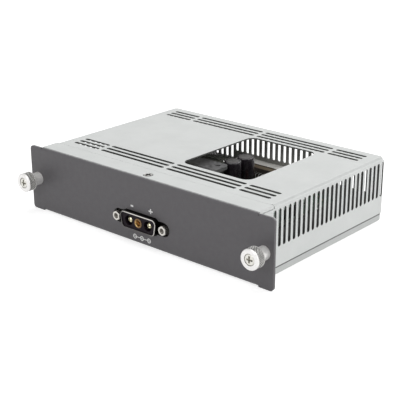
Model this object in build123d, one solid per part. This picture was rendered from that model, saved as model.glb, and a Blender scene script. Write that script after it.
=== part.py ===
from build123d import *
import os
from math import radians, tan

# How far a cut runs past the surface that it opens
past = 1.0

# Case sizes, from the photograph and the 33.3 mm jackscrew pitch
panel_width = 174.2
body_width = 155.0
body_height = 38.0
panel_drop = 0.6
body_depth = 111.9
panel_sheet = 1.5
cover_sheet = 0.8
tray_sheet = 1.0
seam_gap = 0.1
panel_bend = 2.0
cover_bend = 2.0
tray_bend = 1.3
ear_corner = 2.0
flange_depth = 12.0
relief_width = 0.8
relief_depth = 1.0
relief_shoulder = 0.6
cover_bottom = 5.3
tray_wall_top = 14.5
tongue_reach = 9.5
tongue_margin = 7.0
corner_relief_radius = 1.3
corner_slit = 1.4
corner_step = 1.5
side_seam_gap = 0.3
seam_relief = 0.8

# Ventilation slots and the window in the cover
vent_pitch = 4.0
vent_width = 2.2
side_vent_first = 12.9
side_vent_count = 25
side_vent_low = 15.4
rear_vent_count = 36
rear_vent_low = 19.4
rear_vent_rise = 0.2
rear_vent_shift = -0.35
connector_clear = 6.0
vent_top_margin = 2.8
row_width = 2.2
row_pitch = 4.15
row_count = 3
row_bridge = 2.3
row_short = 19.6
row_long = 47.2
front_rows_start = 18.9
rear_rows_start = 95.5
window_left = -0.1
window_width = 46.3
window_front = 31.4
window_length = 60.7
window_corner = 5.0

# Power inlet with three high-current contacts in a D-shaped shell
inlet_z = 12.9
jack_pitch = 33.3
shell_width = 26.3
shell_height = 9.2
shell_corner = 2.6
shell_lean = 10.0
shell_wall = 0.5
shell_reach = 2.65
shell_flange_margin = 2.95
shell_flange_height = 12.5
shell_flange_sheet = 1.0
shell_flange_corner = 1.5
inlet_gap = 0.1
insulator_face = 2.2
insulator_back = 10.0
insulator_step = 0.4
contact_pitch = 6.86
contact_radius = 1.8
contact_well_radius = 2.75
contact_well_depth = 7.5
contact_tip = 1.6
socket_tip = 2.5
socket_radius = 2.6
socket_bore_radius = 1.8
socket_bore_depth = 6.0
socket_length = 7.2
contact_tail_radius = 0.8
contact_tail_reach = 1.5
contact_round = 0.45
cutout_side_gap = 0.55
cutout_top_gap = 0.45
cutout_corner = 3.0
cutout_ear_margin = 3.55
cutout_ear_gap = 1.5
jack_across_flats = 4.8
jack_reach = 2.0
jack_bore_radius = 1.2
jack_bore_depth = 3.4
jack_stud_radius = 1.42
jack_stud_length = 6.0
bracket_width = 6.0
bracket_sheet = 1.2
bracket_foot = 7.0

# Captive thumbscrews in the two ears
thumb_inset = 5.8
thumb_lift = 0.1
knob_radius = 5.4
knob_length = 5.6
knob_reach = 11.4
knob_chamfer = 0.5
knob_recess_radius = 3.3
knob_recess_depth = 0.8
knob_web = 1.7
ferrule_radius = 3.6
ferrule_length = 6.2
ferrule_spigot_radius = 3.0
ferrule_cup_radius = 2.75
ferrule_seat = 1.2
ferrule_chamfer = 0.3
slide_clearance = 0.08
neck_radius = 1.2
neck_clearance = 0.1
thread_radius = 1.5
thread_length = 4.6
thread_chamfer = 0.4
thread_start = 0.3
screw_head_radius = 2.6
screw_head_height = 0.7
screw_head_round = 0.4
screw_clearance = 0.02
cross_width = 0.7
cross_length = 3.2
cross_depth = 0.5
washer_radius = 2.6
washer_thickness = 0.5
spring_wire = 0.45
spring_radius = 2.1
spring_turns = 5.0
spring_end_gap = 0.1

# Screws that hold the case together
case_screw_radius = 1.5
case_screw_head_radius = 2.8
case_screw_clearance = 0.1
case_screw_length = 5.0
top_screw_x = 0.8
flange_screw_y = 5.3
bottom_screw_x = 52.0
press_nut_radius = 2.75
press_nut_height = 2.0
rear_screw_x = 62.0
rear_screw_z = 9.8
rear_head_height = 1.7
rear_head_radius = 2.7
head_round = 0.6

# Circuit board and its fixings
board_width = 148.0
board_front = 4.0
board_length = 102.4
board_thickness = 1.6
standoff_height = 5.4
standoff_radius = 2.5
standoff_inset_x = 8.0
standoff_inset_front = 17.0
standoff_inset_back = 9.0
board_screw_head_radius = 2.6
board_screw_head_height = 1.6
board_screw_reach = 3.0

# Pieces on the circuit board
can_radius = 4.9
can_round = 0.14
can_groove = 0.3
can_groove_height = 2.4
window_can_places = [(8.9, 75.6), (7.6, 65.8)]
window_can_headrooms = [5.7, 6.1]
bulk_can_radius = 9.0
bulk_can_headroom = 6.0
bulk_can_places = [(-56.0, 34.0), (-56.0, 54.0)]
filter_can_radius = 4.0
filter_can_headroom = 17.0
filter_can_places = [(-44.0, 94.0), (-34.0, 94.0)]
sink_sheet = 2.0
sink_headroom = 7.0
sink_left = -42.0
sink_right = 9.6
sink_front = 47.8
sink_back = 60.6
sink_corner = 3.0
sink_bend = 1.6
sink_hole_radius = 1.5
sink_hole_inset = 4.6
side_sink_gap = 3.3
side_sink_top = 20.8
side_sink_front = 14.0
side_sink_back = 98.0
side_sink_foot = 8.0
side_sink_foot_inset = 16.0
core_width = 20.0
core_depth = 11.0
core_height = 18.6
core_leg = 4.0
core_yoke = 4.0
core_x = -13.0
core_y = 71.0
bobbin_length = 18.0
bobbin_flange = 1.0
bobbin_height_gap = 0.3
winding_corner = 2.0
drum_radius = 7.5
drum_height = 13.0
drum_flange = 1.8
drum_neck_radius = 4.0
drum_gap = 0.15
drum_winding_inset = 0.4
drum_x = 32.0
drum_y = 60.0
control_x = 60.0
control_front = 20.0
control_length = 38.0
control_height = 23.0
control_thickness = 1.2
chip_thickness = 1.8
chip_height = 5.0
chip_starts = [6.0, 22.0]
chip_lengths = [8.0, 10.0]
chip_lifts = [7.0, 10.0]
connector_width = 44.0
connector_front = 104.2
connector_back = 110.7
connector_top = 17.3
connector_wall = 1.2
connector_floor = 2.0
connector_margin = 0.5
connector_lip = 0.4
pin_count = 10
pin_size = 1.1
pin_reach = 1.0
package_width = 10.0
package_height = 9.2
package_depth = 4.4
package_tab = 6.2
package_tab_sheet = 1.3
package_lead = 0.8
package_lead_pitch = 2.54
package_lift = 4.0
package_lead_depth = 0.6
transistor_inset = 12.0
transistor_pitch = 16.0
transistor_head_height = 1.8
film_width = 26.0
film_depth = 10.0
film_height = 17.0
film_round = 0.8
film_x = -20.0
film_y = 22.0
fuse_radius = 2.6
fuse_cap_radius = 3.0
fuse_length = 20.0
fuse_cap_length = 5.0
fuse_cap_end = 0.8
fuse_x = 34.0
fuse_y = 22.0
fuse_lift = 4.4
clip_sheet = 0.8
clip_width = 4.0

# Values worked out from the sizes above
body_half = body_width / 2
panel_height = body_height - panel_drop
thumb_x = panel_width / 2 - thumb_inset
thumb_z = panel_height / 2 + thumb_lift
vent_high = body_height - vent_top_margin
rear_vent_outer_low = tray_wall_top + rear_vent_rise
rear_vent_divide = connector_width / 2 + connector_clear
side_seam = body_height - panel_sheet - side_seam_gap
shell_flange_width = jack_pitch + 2 * shell_flange_margin
cutout_width = shell_width + 2 * cutout_side_gap
cutout_height = shell_height + 2 * cutout_top_gap
cutout_ear_width = jack_pitch + 2 * cutout_ear_margin
cutout_ear_height = jack_across_flats + 2 * cutout_ear_gap
sink_top = body_height - sink_headroom
flange_half = body_half - seam_gap
wall_inner = body_half - cover_sheet
tray_half = wall_inner - seam_gap
panel_back = panel_sheet + seam_gap
tray_back = body_depth - cover_sheet - seam_gap
tongue_top = body_height - panel_sheet - seam_gap
tongue_low = panel_sheet + seam_gap
seam_y = flange_depth + seam_gap
board_low = tray_sheet + standoff_height
board_top = board_low + board_thickness
board_back = board_front + board_length
shell_flange_front = panel_sheet + inlet_gap
shell_flange_back = shell_flange_front + shell_flange_sheet
jack_x = jack_pitch / 2
knob_back = knob_length - knob_reach
knob_pocket = knob_length - knob_web
spring_front = knob_back - knob_pocket + washer_thickness
spring_back = panel_sheet - ferrule_seat
front_y = (knob_reach - body_depth - rear_head_height) / 2


def block(x0, x1, y0, y1, z0, z1):
    middle = ((x0 + x1) / 2, (y0 + y1) / 2, (z0 + z1) / 2)
    return Pos(*middle) * Box(x1 - x0, y1 - y0, z1 - z0)


def post(x, y, z0, z1, radius):
    return Pos(x, y, (z0 + z1) / 2) * Cylinder(radius, z1 - z0)


def rod(x, z, y0, y1, radius):
    return Pos(x, (y0 + y1) / 2, z) * Rot(90, 0, 0) * Cylinder(radius, y1 - y0)


def prism_y(outline, y0, y1):
    """Extrude an outline drawn as x, z along the depth from y0 to y1."""
    plane = Plane(origin=(0, y1, 0), x_dir=(1, 0, 0), z_dir=(0, -1, 0))
    return extrude(plane * outline, y1 - y0, dir=(0, -1, 0))


def prism_x(outline, x0, x1):
    """Extrude an outline drawn as y, z along the width from x0 to x1."""
    plane = Plane(origin=(x0, 0, 0), x_dir=(0, 1, 0), z_dir=(1, 0, 0))
    return extrude(plane * outline, x1 - x0, dir=(1, 0, 0))


def prism_z(outline, z0, z1):
    """Extrude an outline drawn as x, y upwards from z0 to z1."""
    return Pos(0, 0, z0) * extrude(outline, z1 - z0, dir=(0, 0, 1))


def rounded_corners(outline, radius, wanted):
    corners = [v for v in outline.vertices() if wanted(v)]
    return fillet(corners, radius)


def group(solids):
    return Compound(children=list(solids))


def cross_recess(x, y, top, up):
    """Cross-shaped driver recess, sunk from a head's face along up."""
    depth = cross_depth * up
    low, high = sorted((top, top - depth))
    arm = cross_width / 2
    reach = cross_length / 2
    return (block(x - arm, x + arm, y - reach, y + reach, low, high)
            + block(x - reach, x + reach, y - arm, y + arm, low, high))


def cross_recess_y(x, z, face, outward):
    """The same recess in a head whose face looks along the depth."""
    low, high = sorted((face, face - cross_depth * outward))
    arm = cross_width / 2
    reach = cross_length / 2
    return (block(x - arm, x + arm, low, high, z - reach, z + reach)
            + block(x - reach, x + reach, low, high, z - arm, z + arm))


# Front panel, one folded sheet with two flat ears
def folded_channel():
    outer = Pos(body_depth / 2, body_height / 2) * Rectangle(body_depth, body_height)
    outer = rounded_corners(outer, panel_bend, lambda v: v.X < panel_bend)
    inner_high = body_height - 2 * panel_sheet
    inner = Pos(panel_sheet + body_depth / 2, body_height / 2) * Rectangle(body_depth, inner_high)
    inner = rounded_corners(inner, panel_bend - panel_sheet, lambda v: v.X < panel_sheet * 2)
    sheet = prism_x(outer - inner, -flange_half, flange_half)
    return sheet & block(-flange_half, flange_half, 0, flange_depth, 0, body_height)


def ear_plate():
    plate = Pos(0, panel_height / 2) * Rectangle(panel_width, panel_height)
    plate = fillet(plate.vertices(), ear_corner)
    plate = prism_y(plate, 0, panel_sheet)
    return plate - block(-flange_half, flange_half, -past, panel_sheet + past, -past, body_height)


def relief_notch(side, edge_z, inward):
    """Pointed relief between an ear and the fold, opening at the sheet's edge."""
    near = flange_half * side
    far = (flange_half + relief_width) * side
    tip_z = edge_z + relief_depth * inward
    shoulder_z = edge_z + relief_depth * inward * relief_shoulder
    outline = Polygon((near, edge_z), (far, edge_z), (far, shoulder_z), (near, tip_z), align=None)
    return prism_y(outline, -past, panel_sheet + past)


def d_outline(width, height, corner):
    """D-shaped outline, wide at the top, about the inlet's own centre."""
    lean = height * tan(radians(shell_lean))
    half = width / 2
    outline = Polygon((-half, height / 2), (half, height / 2),
                      (half - lean, -height / 2), (lean - half, -height / 2), align=None)
    return Pos(0, inlet_z) * fillet(outline.vertices(), corner)


def inlet_cutout():
    ears = Pos(0, inlet_z) * SlotOverall(cutout_ear_width, cutout_ear_height)
    hole = prism_y(ears, -past, panel_sheet + past)
    return hole + prism_y(d_outline(cutout_width, cutout_height, cutout_corner), -past, panel_sheet + past)


def sunk_hole(x, y, face, up):
    """Countersunk hole through a flange, widest at its outer face."""
    cone_height = case_screw_head_radius - case_screw_radius
    small = case_screw_radius + case_screw_clearance
    large = case_screw_head_radius + case_screw_clearance
    middle = face - up * cone_height / 2
    cone = Cone(small, large, cone_height) if up > 0 else Cone(large, small, cone_height)
    drill = post(x, y, face - 3 * panel_sheet, face + 3 * panel_sheet, small)
    return Pos(x, y, middle) * cone + drill


def front_panel():
    panel = folded_channel() + ear_plate()
    for side in (-1, 1):
        panel -= relief_notch(side, 0, 1)
        panel -= relief_notch(side, panel_height, -1)
        panel -= rod(side * thumb_x, thumb_z, -past, panel_sheet + past,
                     ferrule_spigot_radius + screw_clearance)
        panel -= sunk_hole(side * bottom_screw_x, flange_screw_y, 0, -1)
    panel -= inlet_cutout()
    panel -= sunk_hole(top_screw_x, flange_screw_y, body_height, 1)
    return panel


# Cover, one folded sheet with top, two sides and rear
def rounded_case(half, y0, y1, z0, z1, radius):
    """Solid block whose top side edges and top rear edge are rounded."""
    across = Pos(0, (z0 + z1) / 2) * Rectangle(2 * half, z1 - z0)
    across = rounded_corners(across, radius, lambda v: v.Y > (z0 + z1) / 2)
    along = Pos((y0 + y1) / 2, (z0 + z1) / 2) * Rectangle(y1 - y0, z1 - z0)
    along = rounded_corners(along, radius, lambda v: v.Y > (z0 + z1) / 2 and v.X > (y0 + y1) / 2)
    return prism_y(across, y0, y1) & prism_x(along, -half, half)


def vent(width, low, high):
    height = high - low
    return Pos(0, (low + high) / 2) * Rot(0, 0, 90) * SlotOverall(height, width)


def side_vents():
    outline = vent(vent_width, side_vent_low, vent_high)
    cuts = []
    for index in range(side_vent_count):
        place = Pos(side_vent_first + index * vent_pitch, 0)
        cuts.append(prism_x(place * outline, -body_half - past, body_half + past))
    return cuts


def rear_vents():
    """Slots across the rear; those beside the connector reach further down."""
    first = rear_vent_shift - (rear_vent_count - 1) * vent_pitch / 2
    cuts = []
    for index in range(rear_vent_count):
        x = first + index * vent_pitch
        low = rear_vent_low if abs(x) < rear_vent_divide else rear_vent_outer_low
        outline = Pos(x, 0) * vent(vent_width, low, vent_high)
        cuts.append(prism_y(outline, body_depth - 2 * cover_sheet, body_depth + past))
    return cuts


def row_lengths():
    return [row_short, row_long, row_long, row_short]


def top_rows(first_y):
    cuts = []
    total = sum(row_lengths()) + row_bridge * (len(row_lengths()) - 1)
    for row in range(row_count):
        x = -total / 2
        y = first_y + row * row_pitch
        for length in row_lengths():
            slot = Pos(x + length / 2, y) * SlotOverall(length, row_width)
            cuts.append(prism_z(slot, body_height - 2 * cover_sheet, body_height + past))
            x += length + row_bridge
    return cuts


def window_cut():
    outline = Pos(window_left + window_width / 2, window_front + window_length / 2) * RectangleRounded(
        window_width, window_length, window_corner)
    return prism_z(outline, body_height - 2 * cover_sheet, body_height + past)


def joggled_tongue():
    """Strip of the top that steps down and runs forward under the panel's flange."""
    half = body_half - tongue_margin
    low = tongue_top - cover_sheet
    shelf = block(-half, half, seam_y - tongue_reach, seam_y + cover_sheet, low, tongue_top)
    riser = block(-half, half, seam_y, seam_y + cover_sheet, low, body_height)
    return shelf + riser


def connector_window(y0, y1, top):
    half = connector_width / 2 + connector_margin
    return block(-half, half, y0, y1, board_top - connector_margin, top)


def rear_corner_cuts(side):
    """Open corner between a side wall and the rear wall, with a rounded notch in the top above it."""
    low = body_height - cover_bend
    beyond = side * (body_half + past)
    x0, x1 = sorted((side * (wall_inner - corner_slit), beyond))
    opening = block(x0, x1, body_depth - corner_step, body_depth + past, 0, low + seam_gap)
    centre_x = side * (body_half - corner_relief_radius)
    centre_y = body_depth - corner_relief_radius
    notch = post(centre_x, centre_y, low, body_height + past, corner_relief_radius)
    x0, x1 = sorted((centre_x, beyond))
    notch += block(x0, x1, centre_y - corner_relief_radius, body_depth + past, low, body_height + past)
    x0, x1 = sorted((centre_x - side * corner_relief_radius, beyond))
    notch += block(x0, x1, centre_y, body_depth + past, low, body_height + past)
    return [opening, notch]


def front_corner_notch(side):
    """Relief across the bend where the top seam meets a side wall."""
    x0, x1 = sorted((side * (body_half - cover_bend), side * (body_half + past)))
    return block(x0, x1, seam_y - past, seam_y + seam_relief, side_seam, body_height + past)


def cover():
    outer = rounded_case(body_half, panel_back, body_depth, cover_bottom, body_height, cover_bend)
    inner = rounded_case(wall_inner, -past, body_depth - cover_sheet, 0, body_height - cover_sheet,
                         cover_bend - cover_sheet)
    shell = outer - inner
    shell -= block(-body_half - past, body_half + past, 0, seam_y, side_seam, body_height + past)
    shell += joggled_tongue()
    shell -= side_vents() + rear_vents() + top_rows(front_rows_start) + top_rows(rear_rows_start)
    shell -= window_cut()
    shell -= connector_window(body_depth - 2 * cover_sheet, body_depth + past,
                              connector_top - connector_lip)
    shell -= post(top_screw_x, flange_screw_y, tongue_top - cover_sheet - past, tongue_top + past,
                  case_screw_radius + case_screw_clearance)
    for side in (-1, 1):
        shell -= rear_corner_cuts(side)
        shell -= front_corner_notch(side)
        shell -= rod(side * rear_screw_x, rear_screw_z, body_depth - 2 * cover_sheet, body_depth + past,
                     case_screw_radius + case_screw_clearance)
    return shell


# Base tray, one folded sheet inside the cover's lower edge
def base_tray():
    profile = Pos(0, tray_wall_top / 2) * Rectangle(2 * tray_half, tray_wall_top)
    profile = rounded_corners(profile, tray_bend, lambda v: v.Y < tray_wall_top / 2)
    length = Pos((panel_back + tray_back) / 2, tray_wall_top / 2) * Rectangle(
        tray_back - panel_back, tray_wall_top)
    length = rounded_corners(length, tray_bend, lambda v: v.Y < tray_wall_top / 2 and v.X > body_depth / 2)
    tray = prism_y(profile, panel_back, tray_back) & prism_x(length, -tray_half, tray_half)
    inner = tray_half - tray_sheet
    tray -= block(-inner, inner, -past, tray_back - tray_sheet, tray_sheet, tray_wall_top + past)
    tray -= block(-body_half, body_half, 0, seam_y, -past, tongue_low)
    shelf_half = body_half - tongue_margin
    shelf_top = tongue_low + tray_sheet
    tray += block(-shelf_half, shelf_half, seam_y - tongue_reach, seam_y + tray_sheet,
                  tongue_low, shelf_top)
    tray += block(-shelf_half, shelf_half, seam_y, seam_y + tray_sheet, 0, shelf_top)
    tray -= connector_window(tray_back - 2 * tray_sheet, body_depth,
                             connector_top + connector_margin)
    for side in (-1, 1):
        tray -= post(side * bottom_screw_x, flange_screw_y, 0, shelf_top + past,
                     case_screw_radius + case_screw_clearance)
        tray -= rod(side * rear_screw_x, rear_screw_z, tray_back - 2 * tray_sheet, body_depth,
                    case_screw_radius + case_screw_clearance)
    return tray


# Case screws and their nuts
def sunk_screw(x, y, face, up):
    cone_height = case_screw_head_radius - case_screw_radius
    middle = face - up * cone_height / 2
    small = case_screw_radius
    large = case_screw_head_radius
    cone = Cone(small, large, cone_height) if up > 0 else Cone(large, small, cone_height)
    end = face - up * case_screw_length
    low, high = sorted((face - up * cone_height, end))
    screw = Pos(x, y, middle) * cone + post(x, y, low, high, small)
    return screw - cross_recess(x, y, face, up)


def press_nut(x, y, z0, z1):
    nut = post(x, y, z0, z1, press_nut_radius)
    return nut - post(x, y, z0 - past, z1 + past, case_screw_radius + case_screw_clearance)


def top_press_nut():
    seat = tongue_top - cover_sheet
    return press_nut(top_screw_x, flange_screw_y, seat - press_nut_height, seat)


def bottom_press_nuts():
    seat = tongue_low + tray_sheet
    return group(press_nut(side * bottom_screw_x, flange_screw_y, seat, seat + press_nut_height)
                 for side in (-1, 1))


def bottom_screws():
    return group(sunk_screw(side * bottom_screw_x, flange_screw_y, 0, -1) for side in (-1, 1))


def rear_screw(side):
    x = side * rear_screw_x
    head = rod(x, rear_screw_z, body_depth, body_depth + rear_head_height, rear_head_radius)
    head = fillet(head.edges().sort_by(Axis.Y)[-1], rear_head_height * head_round)
    shank = rod(x, rear_screw_z, body_depth - case_screw_length, body_depth, case_screw_radius)
    return head + shank - cross_recess_y(x, rear_screw_z, body_depth + rear_head_height, 1)


def rear_screws():
    return group(rear_screw(side) for side in (-1, 1))


def rear_press_nuts():
    seat = tray_back - tray_sheet
    nuts = []
    for side in (-1, 1):
        nut = rod(side * rear_screw_x, rear_screw_z, seat - press_nut_height, seat, press_nut_radius)
        bore = rod(side * rear_screw_x, rear_screw_z, seat - press_nut_height - past, seat + past,
                   case_screw_radius + case_screw_clearance)
        nuts.append(nut - bore)
    return group(nuts)


# Power inlet
def inlet_shell():
    plate = Pos(0, inlet_z) * RectangleRounded(shell_flange_width, shell_flange_height,
                                                 shell_flange_corner)
    shell = prism_y(plate, shell_flange_front, shell_flange_back)
    shell += prism_y(d_outline(shell_width, shell_height, shell_corner), -shell_reach, shell_flange_back)
    inner_corner = shell_corner - shell_wall
    inner = d_outline(shell_width - 2 * shell_wall, shell_height - 2 * shell_wall, inner_corner)
    shell -= prism_y(inner, -shell_reach - past, shell_flange_back + past)
    for side in (-1, 1):
        shell -= rod(side * jack_x, inlet_z, 0, shell_flange_back + past, jack_stud_radius + inlet_gap)
    return shell


def contact_places():
    return [-contact_pitch, 0, contact_pitch]


def inlet_insulator():
    step = shell_wall + seam_gap / 2
    front = d_outline(shell_width - 2 * step, shell_height - 2 * step, shell_corner - step)
    body = prism_y(front, -insulator_face, shell_flange_back)
    half = shell_width / 2
    body += block(-half, half, shell_flange_back, insulator_back, board_top,
                  inlet_z + shell_height / 2 + insulator_step)
    for x in contact_places():
        body -= rod(x, inlet_z, -insulator_face - past, contact_well_depth - insulator_face,
                    contact_well_radius)
        body -= rod(x, inlet_z, 0, insulator_back + past, contact_radius + screw_clearance)
    return body


def contact_stem(x, tip):
    """Round stem from a contact's tip to its tail, which drops through the board."""
    tail_y = insulator_back + 2 * contact_tail_radius
    stem = rod(x, inlet_z, -tip, tail_y + contact_tail_radius, contact_radius)
    stem = fillet(stem.edges().sort_by(Axis.Y)[0], contact_radius * contact_round)
    return stem + post(x, tail_y, board_low - contact_tail_reach, inlet_z, contact_tail_radius)


def contact_socket():
    """Middle contact, a tube on the same stem as the two pins."""
    tube = rod(0, inlet_z, -socket_tip, socket_length - socket_tip, socket_radius)
    bore = rod(0, inlet_z, -socket_tip - past, socket_bore_depth - socket_tip, socket_bore_radius)
    return contact_stem(0, contact_tip) + tube - bore


def inlet_contacts():
    pins = [contact_stem(side * contact_pitch, contact_tip) for side in (-1, 1)]
    return group(pins + [contact_socket()])


def jackscrew(side):
    x = side * jack_x
    hexagon = Pos(x, inlet_z) * RegularPolygon(jack_across_flats / 2, 6, major_radius=False)
    screw = prism_y(hexagon, -jack_reach, shell_flange_front)
    screw += rod(x, inlet_z, shell_flange_front, shell_flange_front + jack_stud_length, jack_stud_radius)
    return screw - rod(x, inlet_z, -jack_reach - past, jack_bore_depth - jack_reach, jack_bore_radius)


def jackscrews():
    return group(jackscrew(side) for side in (-1, 1))


def inlet_bracket(side):
    x = side * jack_x
    half = bracket_width / 2
    wall = block(x - half, x + half, shell_flange_back, shell_flange_back + bracket_sheet,
                 board_top, inlet_z + shell_flange_height / 2)
    foot = block(x - half, x + half, shell_flange_back, board_front + bracket_foot,
                 board_top, board_top + bracket_sheet)
    return wall + foot - rod(x, inlet_z, 0, shell_flange_back + bracket_sheet + past,
                             jack_stud_radius + inlet_gap)


def inlet_brackets():
    return group(inlet_bracket(side) for side in (-1, 1))


# Captive thumbscrew, drawn on its own axis with the panel's face at y = 0
def ferrule(x):
    body = rod(x, thumb_z, -ferrule_length, 0, ferrule_radius)
    body = chamfer(body.edges().sort_by(Axis.Y)[0], ferrule_chamfer)
    body += rod(x, thumb_z, 0, panel_sheet, ferrule_spigot_radius)
    body -= rod(x, thumb_z, -ferrule_length - past, spring_back, ferrule_cup_radius)
    return body - rod(x, thumb_z, 0, panel_sheet + past, neck_radius + neck_clearance)


def knob(x):
    body = rod(x, thumb_z, -knob_reach, knob_back, knob_radius)
    body = chamfer(body.edges().filter_by(GeomType.CIRCLE), knob_chamfer)
    body -= rod(x, thumb_z, knob_back - knob_pocket, knob_back + past, ferrule_radius + slide_clearance)
    body -= rod(x, thumb_z, -knob_reach - past, knob_recess_depth - knob_reach, knob_recess_radius)
    return body - rod(x, thumb_z, -knob_reach, knob_back, neck_radius + screw_clearance)


def thumb_screw(x):
    seat = knob_recess_depth - knob_reach
    head_front = seat - screw_head_height
    head = rod(x, thumb_z, head_front, seat, screw_head_radius)
    head = fillet(head.edges().sort_by(Axis.Y)[0], screw_head_round)
    neck_end = panel_sheet + thread_start
    thread = rod(x, thumb_z, neck_end, neck_end + thread_length, thread_radius)
    thread = chamfer(thread.edges().sort_by(Axis.Y)[-1], thread_chamfer)
    screw = head + rod(x, thumb_z, seat, neck_end, neck_radius) + thread
    return screw - cross_recess_y(x, thumb_z, head_front, -1)


def thumb_washer(x):
    front = knob_back - knob_pocket
    ring = rod(x, thumb_z, front, front + washer_thickness, washer_radius)
    return ring - rod(x, thumb_z, front - past, front + washer_thickness + past,
                      neck_radius + neck_clearance)


def thumb_spring(x):
    """Coil of square wire between the ferrule's seat and the washer."""
    start = spring_front + spring_end_gap + spring_wire / 2
    height = spring_back - spring_end_gap - spring_wire / 2 - start
    coil = Helix(pitch=height / spring_turns, height=height, radius=spring_radius)
    wire = Plane(coil @ 0, z_dir=coil % 0) * Rectangle(spring_wire, spring_wire)
    spring = sweep(wire, path=coil, is_frenet=True)
    return Pos(x, start, thumb_z) * Rot(-90, 0, 0) * spring


# Circuit board, standoffs and screws
def board_places():
    half = board_width / 2 - standoff_inset_x
    front = board_front + standoff_inset_front
    back = board_back - standoff_inset_back
    return [(-half, front), (half, front), (-half, back), (half, back)]


def circuit_board():
    board = block(-board_width / 2, board_width / 2, board_front, board_back, board_low, board_top)
    for x, y in board_places():
        board -= post(x, y, board_low - past, board_top + past, case_screw_radius + case_screw_clearance)
    for x in contact_places():
        tail_y = insulator_back + 2 * contact_tail_radius
        board -= post(x, tail_y, board_low - past, board_top + past, contact_tail_radius + screw_clearance)
    return board


def board_standoffs():
    posts = []
    for x, y in board_places():
        body = post(x, y, tray_sheet, board_low, standoff_radius)
        posts.append(body - post(x, y, tray_sheet + past, board_low + past,
                                 case_screw_radius + screw_clearance))
    return group(posts)


def board_screw(x, y):
    top = board_top + board_screw_head_height
    head = post(x, y, board_top, top, board_screw_head_radius)
    head = fillet(head.edges().sort_by(Axis.Z)[-1], board_screw_head_height * head_round)
    screw = head + post(x, y, board_low - board_screw_reach, board_top, case_screw_radius)
    return screw - cross_recess(x, y, top, 1)


def board_screws():
    return group(board_screw(x, y) for x, y in board_places())


# Pieces on the board
def capacitor(place, radius, headroom):
    """Aluminium can capacitor with its crimp groove, its top a given headroom under the case's."""
    x, y = place
    can = post(x, y, board_top, body_height - headroom, radius)
    can = fillet(can.edges().filter_by(GeomType.CIRCLE).sort_by(Axis.Z)[-1], radius * can_round)
    groove_z = board_top + can_groove_height
    ring = post(x, y, groove_z - can_groove, groove_z + can_groove, radius + past)
    return can - (ring - post(x, y, groove_z - past, groove_z + past, radius - can_groove))


def capacitor_pair(places, radius, headroom):
    return group(capacitor(place, radius, headroom) for place in places)


def window_capacitors():
    places = zip(window_can_places, window_can_headrooms)
    return group(capacitor(place, can_radius, headroom) for place, headroom in places)


def transistor_heatsink():
    """Bent plate: a wall across the board and a flange over it towards the rear."""
    outline = Pos((sink_left + sink_right) / 2, (sink_front + sink_back) / 2) * Rectangle(
        sink_right - sink_left, sink_back - sink_front)
    outline = rounded_corners(outline, sink_corner, lambda v: v.Y > sink_front + past)
    top = prism_z(outline, sink_top - sink_sheet, sink_top)
    for end in (sink_left + sink_hole_inset, sink_right - sink_hole_inset):
        top -= post(end, sink_back - sink_hole_inset, 0, sink_top + past, sink_hole_radius)
    wall = block(sink_left, sink_right, sink_front, sink_front + sink_sheet, board_top, sink_top)
    sink = wall + top
    upper = sink.edges().filter_by(Axis.X).group_by(Axis.Z)[-1]
    return fillet(upper.sort_by(Axis.Y)[0], sink_bend)


def side_heatsink():
    """Angle plate that stands beside the right-hand wall, on the board."""
    outer = tray_half - tray_sheet - side_sink_gap
    wall = block(outer - sink_sheet, outer, side_sink_front, side_sink_back, board_top, side_sink_top)
    foot = block(outer - side_sink_foot, outer, side_sink_front + side_sink_foot_inset,
                 side_sink_back - side_sink_foot_inset, board_top, board_top + sink_sheet)
    return wall + foot


def package(x, seat_y, toward):
    """Flat power package with its tab against a wall at seat_y, leads down to the board."""
    low = board_top + package_lift
    tab_y = seat_y + toward * package_tab_sheet
    y0, y1 = sorted((seat_y, tab_y))
    half = package_width / 2
    tab = block(x - half, x + half, y0, y1, low, low + package_height + package_tab)
    tab -= rod(x, low + package_height + package_tab / 2, y0 - past, y1 + past, case_screw_radius)
    y0, y1 = sorted((seat_y, seat_y + toward * package_depth))
    body = block(x - half, x + half, y0, y1, low, low + package_height)
    middle = seat_y + toward * package_depth * package_lead_depth
    arm = package_lead / 2
    for step in (-1, 0, 1):
        lead_x = x + step * package_lead_pitch
        body += block(lead_x - arm, lead_x + arm, middle - arm, middle + arm, board_top, low)
    return body + tab


def transistor_places():
    first = sink_left + transistor_inset
    return [first, first + transistor_pitch]


def transistors():
    return group(package(x, sink_front, -1) for x in transistor_places())


def transistor_screws():
    z = board_top + package_lift + package_height + package_tab / 2
    screws = []
    for x in transistor_places():
        head_y = sink_front - package_tab_sheet
        head = rod(x, z, head_y - transistor_head_height, head_y, board_screw_head_radius)
        screws.append(head + rod(x, z, head_y, sink_front, case_screw_radius - screw_clearance))
    return group(screws)


def half_core(side):
    """One E-shaped ferrite half; the two halves meet at the middle."""
    low = board_top + bobbin_flange
    high = low + core_height
    x0, x1 = sorted((core_x, core_x + side * core_width / 2))
    body = block(x0, x1, core_y - core_depth / 2, core_y + core_depth / 2, low, high)
    window_high = (core_height - 2 * core_yoke - core_leg) / 2
    w0, w1 = sorted((core_x, core_x + side * (core_width / 2 - core_leg)))
    for base in (low + core_yoke, high - core_yoke - window_high):
        body -= block(w0, w1, core_y - core_depth, core_y + core_depth, base, base + window_high)
    return body


def transformer_core():
    return group(half_core(side) for side in (-1, 1))


def coil_span():
    half = core_width / 2 - core_leg - bobbin_height_gap
    low = board_top + bobbin_flange + core_yoke + bobbin_height_gap
    high = board_top + bobbin_flange + core_height - core_yoke - bobbin_height_gap
    return half, low, high


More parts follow.
